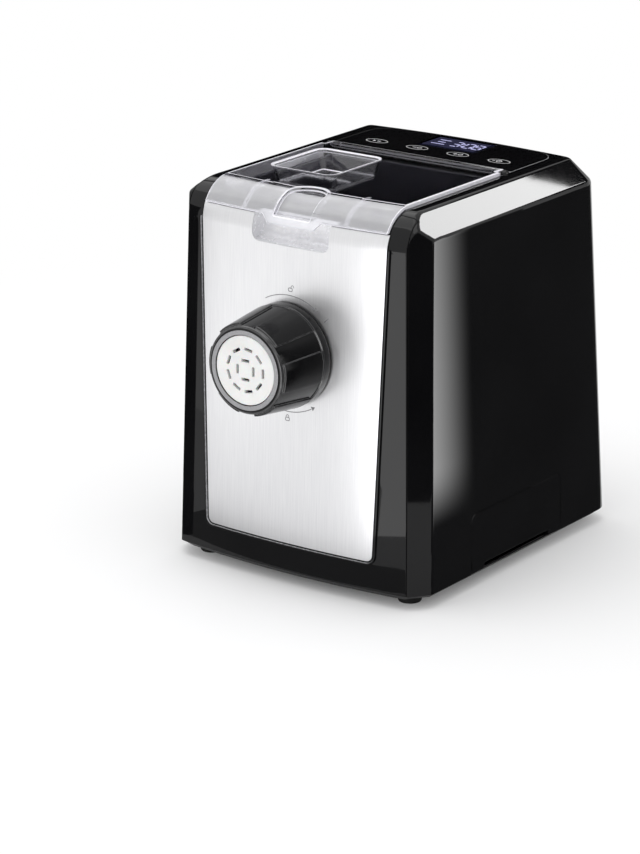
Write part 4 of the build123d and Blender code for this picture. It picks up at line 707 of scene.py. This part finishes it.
def rear_screws():
    """The rear cover's pan-head screws, with rounded heads and a cross recess in each."""
    screws = dressed_copy("rear_cover_screws", screw_edge)
    bars = []
    for x in (-screw_x, screw_x):
        for head_y, z in screw_heads:
            place = (x, head_y, z)
            bars.append(recess_bar(place, recess_length, recess_width))
            bars.append(recess_bar(place, recess_width, recess_length))
    cutter = joined(bars)
    apply_modifier(screws, "BOOLEAN", object=cutter, operation="DIFFERENCE", solver="EXACT",
                   use_self=True)
    bpy.data.objects.remove(cutter)
    smooth_out(screws)


rear_screws()


# Flat sheets for trim and prints

quarter = radians(90.0)
level_turn = (0.0, 0.0, 0.0)
upright_turn = (quarter, 0.0, 0.0)
ink_height = 0.00005
bar_corner_steps = 2
trim_angle = 50.0


def flat_oval(place, half_width, half_height, turn=level_turn, corners=48):
    """A flat oval sheet."""
    deselect_all()
    bpy.ops.mesh.primitive_circle_add(vertices=corners, radius=1.0, fill_type="NGON",
                                      location=place, rotation=turn)
    piece = bpy.context.object
    piece.scale = (half_width, half_height, 1.0)
    set_in_place(piece)
    return piece


def flat_sheet(place, width, height, turn=level_turn):
    """A flat sheet with four sharp corners."""
    deselect_all()
    bpy.ops.mesh.primitive_plane_add(size=1.0, location=place, rotation=turn)
    piece = bpy.context.object
    piece.scale = (width, height, 1.0)
    set_in_place(piece)
    return piece


def flat_bar(place, width, height, turn=level_turn, corner_share=0.3):
    """A flat bar with rounded corners."""
    piece = flat_sheet(place, width, height, turn)
    start_editing(piece)
    bpy.ops.mesh.bevel(offset=corner_share * min(width, height), segments=bar_corner_steps,
                       affect="VERTICES")
    stop_editing()
    return piece


def open_up(piece, border):
    """Take the middle out of a flat sheet, so that a border stays."""
    start_editing(piece)
    bpy.ops.mesh.inset(thickness=border, depth=0.0)
    bpy.ops.mesh.delete(type="FACE")
    stop_editing()
    return piece


def cut_away(piece, place, normal):
    """Take off what lies on the normal's side of a plane."""
    start_editing(piece)
    bpy.ops.mesh.bisect(plane_co=place, plane_no=normal, clear_outer=True)
    stop_editing()


def score(piece, place, normal):
    """Cut a line across a flat sheet, so that it can bend there."""
    start_editing(piece)
    bpy.ops.mesh.bisect(plane_co=place, plane_no=normal)
    stop_editing()


def lay_on(piece, node):
    """Bend a flat sheet onto the front of a node."""
    apply_modifier(piece, "SHRINKWRAP", target=frame["nodes"][node], wrap_method="PROJECT",
                   use_project_y=True, use_negative_direction=True, use_positive_direction=True)


def thicken(piece, height):
    """Let a flat sheet stand up from the surface that it lies on."""
    apply_modifier(piece, "SOLIDIFY", thickness=height, offset=1.0)


def round_trim(piece, width, steps):
    """Round the sharp edges of a piece of trim."""
    apply_modifier(piece, "BEVEL", width=width, segments=steps, limit_method="ANGLE",
                   angle_limit=radians(trim_angle))
    smooth_out(piece)


# Trim ring of the locking nut

nut_z = 0.1776
ring_radius = 0.0295
ring_width = 0.0033
ring_height = 0.0008
ring_edge = 0.4 * ring_height
ring_edge_steps = 3


def nut_ring_trim():
    """The grey trim ring on the nut's face, with rounded edges."""
    face_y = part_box("die")[0].y
    ring = flat_oval((0.0, face_y, nut_z), ring_radius, ring_radius, upright_turn, corners=96)
    open_up(ring, ring_width)
    thicken(ring, ring_height)
    round_trim(ring, ring_edge, ring_edge_steps)
    finish_piece(ring, "nut_ring_trim", "nut", finishes["ring_grey"])
    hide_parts("nut_ring")


nut_ring_trim()


# Touch keys on the control panel

panel_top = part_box("control_panel")[1].z
key_places = (-0.0556, -0.0185, 0.0185, 0.0556)
key_y = 0.079
key_half_width = 0.0094
key_half_height = 0.0054
key_line = 0.00045
stroke_length = 0.0034
stroke = 0.0008
fine_stroke = 0.0007
sign_ring_radius = 0.0019
sign_ring_line = 0.0005
triangle_radius = 0.0016
triangle_shift = -0.0024
start_bar_length = 0.0024
start_bar_shifts = (0.0012, 0.0026)
minus_shift = -0.0024
minus_ring_shift = 0.0022
plus_shift = -0.0022
plus_ring_shift = 0.0024
power_radius = 0.0024
power_line = 0.0006
power_bar_length = 0.0026
power_bar_rise = 0.0016
power_dash_shift = -0.0048


def ink_finish(name, colour):
    """Screen-printed ink, a little uneven."""
    finish = new_finish(name, colour, 0.5, specular=0.2)
    darker = tuple(0.8 * part for part in colour)
    spread_colour(finish, noise_pattern(finish, 700.0, 3.0), darker, colour)
    spread_roughness(finish, noise_pattern(finish, 1500.0), 0.42, 0.6)
    return finish


def on_panel(x, rise=0.0):
    """The point on the control panel in the row of keys, or a little behind it."""
    return (x, key_y + rise, panel_top)


def key_outline(x):
    """The printed oval of one touch key."""
    return open_up(flat_oval(on_panel(x), key_half_width, key_half_height), key_line)


def sign_ring(x, radius, line):
    """A small printed ring."""
    return open_up(flat_oval(on_panel(x), radius, radius, corners=32), line)


def start_sign(x):
    """A triangle and two bars."""
    triangle = flat_oval(on_panel(x + triangle_shift), triangle_radius, triangle_radius,
                         (0.0, 0.0, -quarter), corners=3)
    bars = []
    for shift in start_bar_shifts:
        bars.append(flat_bar(on_panel(x + shift), fine_stroke, start_bar_length))
    return [triangle, *bars]


def minus_sign(x):
    """A bar beside a small ring."""
    ring = sign_ring(x + minus_ring_shift, sign_ring_radius, sign_ring_line)
    return [flat_bar(on_panel(x + minus_shift), stroke_length, stroke), ring]


def plus_sign(x):
    """A cross beside a small ring."""
    ring = sign_ring(x + plus_ring_shift, sign_ring_radius, sign_ring_line)
    level = flat_bar(on_panel(x + plus_shift), stroke_length, stroke)
    upright = flat_bar(on_panel(x + plus_shift), stroke, stroke_length)
    return [level, upright, ring]


def power_sign(x):
    """A ring with a bar across its top, and a dash beside it."""
    ring = sign_ring(x, power_radius, power_line)
    bar = flat_bar(on_panel(x, power_bar_rise), fine_stroke, power_bar_length)
    dash = flat_bar(on_panel(x + power_dash_shift), power_bar_length, fine_stroke)
    return [ring, bar, dash]


def key_prints():
    """The four touch keys with their signs, one sheet of ink."""
    signs = (start_sign, minus_sign, plus_sign, power_sign)
    parts = []
    for x, sign in zip(key_places, signs):
        parts.append(key_outline(x))
        parts.extend(sign(x))
    piece = joined(parts)
    thicken(piece, ink_height)
    finish_piece(piece, "key_prints", "casing",
                 ink_finish("key_ink", (0.80, 0.80, 0.82)))


key_prints()


# Marks round the locking nut

sheet_y = -0.12
mark_radius = 0.0438
mark_line = 0.0006
upper_arc = (-29.0, 31.0)
lower_arc = (151.0, 211.0)
arrow_lead = 2.0
arrow_radius = 0.0021
clockwise = 90.0
anticlockwise = -90.0
lock_width = 0.0040
lock_height = 0.0030
lock_line = 0.0006
shackle_half_width = 0.0015
shackle_half_height = 0.0020
shackle_line = 0.0005
# Angle, lift above the arc and shift of the shackle.
open_lock = (1.5, 0.0040, 0.0018)
shut_lock = (180.0, 0.0055, 0.0)
tick_angle = 47.6
tick_radius = 0.0447
tick_length = 0.0048


def round_the_nut(angle, radius):
    """The point at an angle from straight up, clockwise as the front is seen."""
    return Vector((radius * sin(radians(angle)), sheet_y, nut_z + radius * cos(radians(angle))))


def lock_arc(first, last):
    """A printed arc between two angles."""
    centre = (0.0, sheet_y, nut_z)
    arc = flat_oval(centre, mark_radius, mark_radius, upright_turn, corners=180)
    open_up(arc, mark_line)
    for angle, side in ((first, -1.0), (last, 1.0)):
        normal = (side * cos(radians(angle)), 0.0, -side * sin(radians(angle)))
        cut_away(arc, centre, normal)
    return arc


def arrow_head(angle, heading):
    """A printed triangle that points along the arc."""
    place = round_the_nut(angle, mark_radius - 0.5 * mark_line)
    turn = (quarter, radians(angle + heading), 0.0)
    return flat_oval(place, arrow_radius, arrow_radius, turn, corners=3)


def lock_sign(angle, lift, shackle_shift):
    """A small padlock: a body with a shackle, shut or swung aside."""
    place = round_the_nut(angle, mark_radius + lift)
    body = flat_bar(place, lock_width, lock_height, upright_turn)
    open_up(body, lock_line)
    shackle_place = place + Vector((shackle_shift, 0.0, 0.5 * lock_height))
    shackle = flat_oval(shackle_place, shackle_half_width, shackle_half_height, upright_turn,
                        corners=24)
    open_up(shackle, shackle_line)
    cut_away(shackle, shackle_place, (0.0, 0.0, -1.0))
    return [body, shackle]


def index_tick():
    """The printed tick beside the nut, at its upper right."""
    turn = (quarter, radians(tick_angle), 0.0)
    return flat_bar(round_the_nut(tick_angle, tick_radius), fine_stroke, tick_length, turn)


def nut_marks():
    """Arcs, arrow heads, padlocks and the index tick, laid on the curved steel."""
    parts = [lock_arc(*upper_arc), arrow_head(upper_arc[1] + arrow_lead, clockwise)]
    parts += [lock_arc(*lower_arc), arrow_head(lower_arc[0] - arrow_lead, anticlockwise)]
    parts += lock_sign(*open_lock)
    parts += lock_sign(*shut_lock)
    parts.append(index_tick())
    piece = joined(parts)
    start_editing(piece)
    bpy.ops.mesh.subdivide(number_cuts=1)
    stop_editing()
    lay_on(piece, "front_panel")
    thicken(piece, ink_height)
    finish_piece(piece, "nut_marks", "casing",
                 ink_finish("lock_ink", (0.27, 0.27, 0.28)))


nut_marks()


# Lip round the steel panel

panel_low, panel_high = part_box("front_panel")
panel_low_half = 0.0744
lip_gap = 0.0011
lip_width = 0.0016
lip_height = 0.0016
lip_edge = 0.0003
lip_edge_steps = 2
lip_corner = 0.0070
lip_corner_steps = 6
lip_top = 0.2665
lip_margin = lip_gap + lip_width
lip_columns = [0.006 * step for step in range(-12, 13)]
lip_rows = (0.05, 0.10, 0.15, 0.20, 0.25, 0.260, 0.263, 0.265)
# Place of the pale finish, a painted reflection, in the lip's list of finishes.
flank_place = 1
flank_normal = 0.5


def lip_half(z):
    """Half the lip's outer width at a height."""
    rise_share = (z - panel_low.z) / (panel_high.z - panel_low.z)
    return panel_low_half + (panel_high.x - panel_low_half) * rise_share + lip_margin


def lip_sheet():
    """A sheet in the steel panel's outline, grown by gap and lip, with round lower corners.

    It stands above the lip's upper end, so that the cut there leaves the two sides open.
    """
    low_z = panel_low.z - lip_margin
    high_z = lip_top + 2.0 * lip_width
    middle_z = 0.5 * (low_z + high_z)
    sheet = flat_sheet((0.0, sheet_y, middle_z), 1.0, high_z - low_z, upright_turn)
    for corner in sheet.data.vertices:
        corner.co.x *= 2.0 * lip_half(corner.co.z)
    clear_selection(sheet, "VERT")
    for corner in sheet.data.vertices:
        corner.select = corner.co.z < middle_z
    bpy.ops.object.mode_set(mode="EDIT")
    bpy.ops.mesh.bevel(offset=lip_corner, segments=lip_corner_steps, affect="VERTICES")
    stop_editing()
    return sheet


def paint_flank_reflection(lip):
    """Give the lip's faces that look towards the steel panel their pale finish, a painted reflection."""
    lip.data.materials.append(lip_flank_painted_reflection_finish())
    for face in lip.data.polygons:
        side = 1.0 if face.center.x > 0.0 else -1.0
        faces_in = side * face.normal.x < -flank_normal
        faces_up = face.normal.z > flank_normal and face.center.z < panel_low.z + lip_corner
        if faces_in or faces_up:
            face.material_index = flank_place


def panel_lip():
    """The fine lip that frames the steel panel at its sides and below."""
    lip = lip_sheet()
    open_up(lip, lip_width)
    cut_away(lip, (0.0, sheet_y, lip_top), (0.0, 0.0, 1.0))
    for x in lip_columns:
        score(lip, (x, sheet_y, 0.0), (1.0, 0.0, 0.0))
    for z in lip_rows:
        score(lip, (0.0, sheet_y, z), (0.0, 0.0, 1.0))
    lay_on(lip, "front_bezel")
    thicken(lip, lip_height)
    round_trim(lip, lip_edge, lip_edge_steps)
    finish_piece(lip, "panel_lip", "casing", finishes["gloss_black"])
    paint_flank_reflection(lip)


panel_lip()


# Display

lens_low, lens_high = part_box("display_lens")
lens_middle = 0.5 * (lens_low + lens_high)
screen_inset = 0.0025
screen_corner_share = 0.04
digit_z = lens_high.z + ink_height
digit_width = 0.0066
digit_height = 0.0130
digit_places = (0.0005, 0.0112, 0.0198)
segment = 0.0013
upright_gap = 1.2 * segment
level_gap = 1.4 * segment
shown_time = "308"
segments_of = {"0": "abcdef", "3": "abcdg", "8": "abcdefg"}
colon_x = 0.0058
colon_step = 0.0028
colon_radius = 0.0008
level_x = -0.0135
level_step = 0.006
level_height = 0.0012
level_lengths = (0.010, 0.007, 0.012)


def glow_finish(name, colour, glow, strength):
    """A lit surface of the display, with the fine rows of its matrix."""
    finish = new_finish(name, colour, 0.3, specular=0.1)
    shader = shader_of(finish)
    shader.inputs["Emission Color"].default_value = (*glow, 1.0)
    shader.inputs["Emission Strength"].default_value = strength
    rows = band_pattern(finish, 900.0, "Y")
    spread_colour(finish, rows, tuple(0.7 * part for part in colour), colour)
    spread_roughness(finish, noise_pattern(finish, 400.0), 0.24, 0.4)
    return finish


def display_screen():
    """The lit field under the window."""
    width = lens_high.x - lens_low.x - 2.0 * screen_inset
    height = lens_high.y - lens_low.y - 2.0 * screen_inset
    place = (lens_middle.x, lens_middle.y, lens_high.z)
    piece = flat_bar(place, width, height, corner_share=screen_corner_share)
    thicken(piece, ink_height)
    finish_piece(piece, "display_screen", "casing",
                 glow_finish("screen_glow", (0.008, 0.008, 0.020), (0.10, 0.10, 0.24), 0.13))


def digit(shape, x):
    """One seven-segment digit."""
    half = 0.5 * digit_height
    reach = 0.5 * digit_width
    long_bar = half - upright_gap
    wide_bar = digit_width - level_gap
    spots = {
        "a": (0.0, half, wide_bar, segment),
        "g": (0.0, 0.0, wide_bar, segment),
        "d": (0.0, -half, wide_bar, segment),
        "b": (reach, 0.5 * half, segment, long_bar),
        "c": (reach, -0.5 * half, segment, long_bar),
        "f": (-reach, 0.5 * half, segment, long_bar),
        "e": (-reach, -0.5 * half, segment, long_bar),
    }
    bars = []
    for name in segments_of[shape]:
        shift, rise, width, height = spots[name]
        bars.append(flat_bar((x + shift, lens_middle.y + rise, digit_z), width, height))
    return bars


def display_digits():
    """The time that the display shows, and a level of small bars beside it."""
    y = lens_middle.y
    parts = []
    for shape, x in zip(shown_time, digit_places):
        parts += digit(shape, x)
    for step in (-colon_step, colon_step):
        parts.append(flat_oval((colon_x, y + step, digit_z), colon_radius, colon_radius, corners=16))
    for row, length in enumerate(level_lengths):
        place = (level_x, y + level_step - level_step * row, digit_z)
        parts.append(flat_bar(place, length, level_height))
    piece = joined(parts)
    thicken(piece, ink_height)
    finish_piece(piece, "display_digits", "casing",
                 glow_finish("digit_glow", (0.42, 0.42, 0.66), (0.60, 0.60, 0.95), 0.45))


display_screen()
display_digits()


# Stage and world

floor_radius = 12.0
fade_stretch = (1.2, 1.2, 1.2)
fade_start = 0.95
soft_fill = 0.95


def seen_or_mirrored(nodes, links):
    """One for a ray from the camera, a mirror or a clear piece, and zero for soft light."""
    path = nodes.new("ShaderNodeLightPath")
    seen = nodes.new("ShaderNodeMath")
    seen.operation = "MAXIMUM"
    links.new(path.outputs["Is Camera Ray"], seen.inputs[0])
    links.new(path.outputs["Is Glossy Ray"], seen.inputs[1])
    clear = nodes.new("ShaderNodeMath")
    clear.operation = "MAXIMUM"
    links.new(seen.outputs["Value"], clear.inputs[0])
    links.new(path.outputs["Is Transmission Ray"], clear.inputs[1])
    return clear.outputs["Value"]


def white_stage():
    """A pale floor that fades to white away from the machine and keeps its shadow."""
    deselect_all()
    bpy.ops.mesh.primitive_circle_add(vertices=96, radius=floor_radius, fill_type="NGON")
    floor = bpy.context.object
    floor.name = "studio_floor"
    finish = new_finish("studio_floor", (0.90, 0.90, 0.905), 0.9, specular=0.02)
    nodes = finish.node_tree.nodes
    links = finish.node_tree.links
    nearness = nodes.new("ShaderNodeTexGradient")
    nearness.gradient_type = "SPHERICAL"
    place_pattern(finish, nearness, fade_stretch)
    distance = nodes.new("ShaderNodeMapRange")
    distance.inputs["From Min"].default_value = 0.0
    distance.inputs["From Max"].default_value = fade_start
    distance.inputs["To Min"].default_value = 1.0
    distance.inputs["To Max"].default_value = 0.0
    links.new(nearness.outputs["Fac"], distance.inputs["Value"])
    share = nodes.new("ShaderNodeMath")
    share.operation = "MULTIPLY"
    links.new(distance.outputs["Result"], share.inputs[0])
    links.new(seen_or_mirrored(nodes, links), share.inputs[1])
    white = nodes.new("ShaderNodeEmission")
    blend = nodes.new("ShaderNodeMixShader")
    links.new(share.outputs["Value"], blend.inputs["Fac"])
    links.new(shader_of(finish).outputs["BSDF"], blend.inputs[1])
    links.new(white.outputs["Emission"], blend.inputs[2])
    links.new(blend.outputs["Shader"], nodes["Material Output"].inputs["Surface"])
    floor.data.materials.append(finish)


def white_world(fill):
    """A world that camera, mirror and clear pieces see as white and that lights the rest softly."""
    world = bpy.data.worlds.new("white_world")
    bpy.context.scene.world = world
    world.use_nodes = True
    nodes = world.node_tree.nodes
    links = world.node_tree.links
    strength = nodes.new("ShaderNodeMapRange")
    strength.inputs["To Min"].default_value = fill
    strength.inputs["To Max"].default_value = 1.0
    links.new(seen_or_mirrored(nodes, links), strength.inputs["Value"])
    background = nodes["Background"]
    background.inputs["Color"].default_value = (1.0, 1.0, 1.0, 1.0)
    links.new(strength.outputs["Result"], background.inputs["Strength"])


white_stage()
white_world(soft_fill)


# Lights and studio cards

middle = (0.0, 0.0, 0.16)
key_place = (-1.9, -1.4, 0.7)
key_size = (2.2, 1.7)
facing_up = level_turn
facing_down = (radians(180.0), 0.0, 0.0)


def standing(bearing):
    """The turn of an upright card that faces the front, swung anticlockwise as seen from above."""
    return (quarter, 0.0, radians(bearing))


def softbox(name, place, target, width, height, power, mirrored=True):
    """A rectangular soft light that looks at a target; mirror-like surfaces may be kept from it."""
    deselect_all()
    bpy.ops.object.light_add(type="AREA", location=place)
    light = bpy.context.object
    light.name = name
    light.data.shape = "RECTANGLE"
    light.data.size = width
    light.data.size_y = height
    light.data.energy = power
    light.visible_glossy = mirrored
    light.rotation_euler = (Vector(target) - Vector(place)).to_track_quat("-Z", "Y").to_euler()


def card(name, place, turn, width, height):
    """A studio card that only mirror-like surfaces see, and only from its front."""
    deselect_all()
    bpy.ops.mesh.primitive_plane_add(size=1.0, location=place, rotation=turn)
    piece = bpy.context.object
    piece.name = name
    piece.scale = (width, height, 1.0)
    piece.visible_camera = False
    piece.visible_diffuse = False
    piece.visible_transmission = False
    piece.visible_volume_scatter = False
    piece.visible_shadow = False
    finish = bpy.data.materials.new(name)
    finish.use_nodes = True
    nodes = finish.node_tree.nodes
    links = finish.node_tree.links
    nodes.remove(nodes["Principled BSDF"])
    front = nodes.new("ShaderNodeEmission")
    front.inputs["Strength"].default_value = 0.0
    back = nodes.new("ShaderNodeBsdfTransparent")
    side = nodes.new("ShaderNodeNewGeometry")
    blend = nodes.new("ShaderNodeMixShader")
    links.new(side.outputs["Backfacing"], blend.inputs["Fac"])
    links.new(front.outputs["Emission"], blend.inputs[1])
    links.new(back.outputs["BSDF"], blend.inputs[2])
    links.new(blend.outputs["Shader"], nodes["Material Output"].inputs["Surface"])
    piece.data.materials.append(finish)
    return front


def black_card(name, place, turn, width, height, through_lid=False):
    """A card that keeps white out of the gloss black, and out of the lid's inner face if asked to."""
    card(name, place, turn, width, height)
    bpy.data.objects[name].visible_transmission = through_lid


def white_card(name, place, turn, width, height, strength):
    """A card that shows in steel and gloss black as an even field, dim or bright."""
    card(name, place, turn, width, height).inputs["Strength"].default_value = strength


def soft_step(tree, value, first, last):
    """Zero before the first share, one after the last and a soft rise between them."""
    step = tree.nodes.new("ShaderNodeMapRange")
    step.interpolation_type = "SMOOTHSTEP"
    step.inputs["From Min"].default_value = first
    step.inputs["From Max"].default_value = last
    tree.links.new(value, step.inputs["Value"])
    return step.outputs["Result"]


def fading_card(name, place, turn, width, height, strengths, rise, fall):
    """A bright card that fades out towards the start of its first side and the end of its second."""
    front = card(name, place, turn, width, height)
    tree = bpy.data.materials[name].node_tree
    coordinates = tree.nodes.new("ShaderNodeTexCoord")
    parts = tree.nodes.new("ShaderNodeSeparateXYZ")
    tree.links.new(coordinates.outputs["Object"], parts.inputs["Vector"])
    share = tree.nodes.new("ShaderNodeMath")
    share.operation = "MULTIPLY"
    tree.links.new(soft_step(tree, parts.outputs["X"], *rise), share.inputs[0])
    tree.links.new(soft_step(tree, parts.outputs["Y"], *fall), share.inputs[1])
    level = tree.nodes.new("ShaderNodeMapRange")
    level.inputs["To Min"].default_value = strengths[0]
    level.inputs["To Max"].default_value = strengths[1]
    tree.links.new(share.outputs["Value"], level.inputs["Value"])
    tree.links.new(level.outputs["Result"], front.inputs["Strength"])


softbox("key_box", key_place, middle, *key_size, 8.5, mirrored=False)
softbox("key_glow", key_place, middle, *key_size, 5.5)
softbox("top_box", (-0.2, -0.2, 1.8), middle, 1.4, 1.4, 9.0)
white_card("facet_card", (0.55, 1.0, 0.965), (quarter, radians(-6.0), 0.0), 0.30, 0.36, 17.0)
fading_card("side_card", (0.165, 0.03, 0.14), (0.0, -quarter, 0.0), 0.276, 0.16,
            strengths=(0.06, 7.1), rise=(-0.40, -0.22), fall=(0.08, -0.385))
white_card("lid_card", (-0.55, 0.10, 1.0), facing_down, 0.70, 0.90, 2.0)
white_card("right_cheek_card", (0.0755, -0.2323, 0.137), standing(158.8), 0.0915, 0.24, 3.2)
black_card("left_cheek_card", (-0.1445, -0.1126, 0.143), standing(129.1), 0.060, 0.28)
white_card("panel_floor_card", (-0.64, -0.73, 0.004), facing_up, 0.72, 0.74, 1.4)
white_card("front_floor_card", (-0.03, -0.160, 0.004), facing_up, 0.28, 0.054, 0.25)
black_card("facet_end_card", (0.40, 1.01, 0.80), standing(0.0), 0.50, 0.50)
white_card("side_floor_card", (0.72, 0.70, 0.004), facing_up, 1.20, 1.58, 0.06)
black_card("top_card", (-0.287, 0.41, 0.47), standing(35.0), 0.76, 0.32, through_lid=True)
black_card("corner_card", (0.378, -0.197, 0.20), standing(-110.2), 0.30, 0.40)


# Camera

camera_place = (1.4167, -2.0162, 0.9007)
camera_bearing = 36.07
camera_dip = 18.16
camera_lens = 144.9
sensor_height = 36.0
view_reach = 100.0


def photo_camera():
    """The photograph's view: from the front right, a little above the machine."""
    deselect_all()
    turn = (radians(90.0 - camera_dip), 0.0, radians(camera_bearing))
    bpy.ops.object.camera_add(location=camera_place, rotation=turn)
    camera = bpy.context.object
    camera.name = "photo_camera"
    camera.data.sensor_fit = "VERTICAL"
    camera.data.sensor_height = sensor_height
    camera.data.lens = camera_lens
    camera.data.clip_end = view_reach
    bpy.context.scene.camera = camera


photo_camera()
bpy.context.scene.view_settings.view_transform = "Standard"
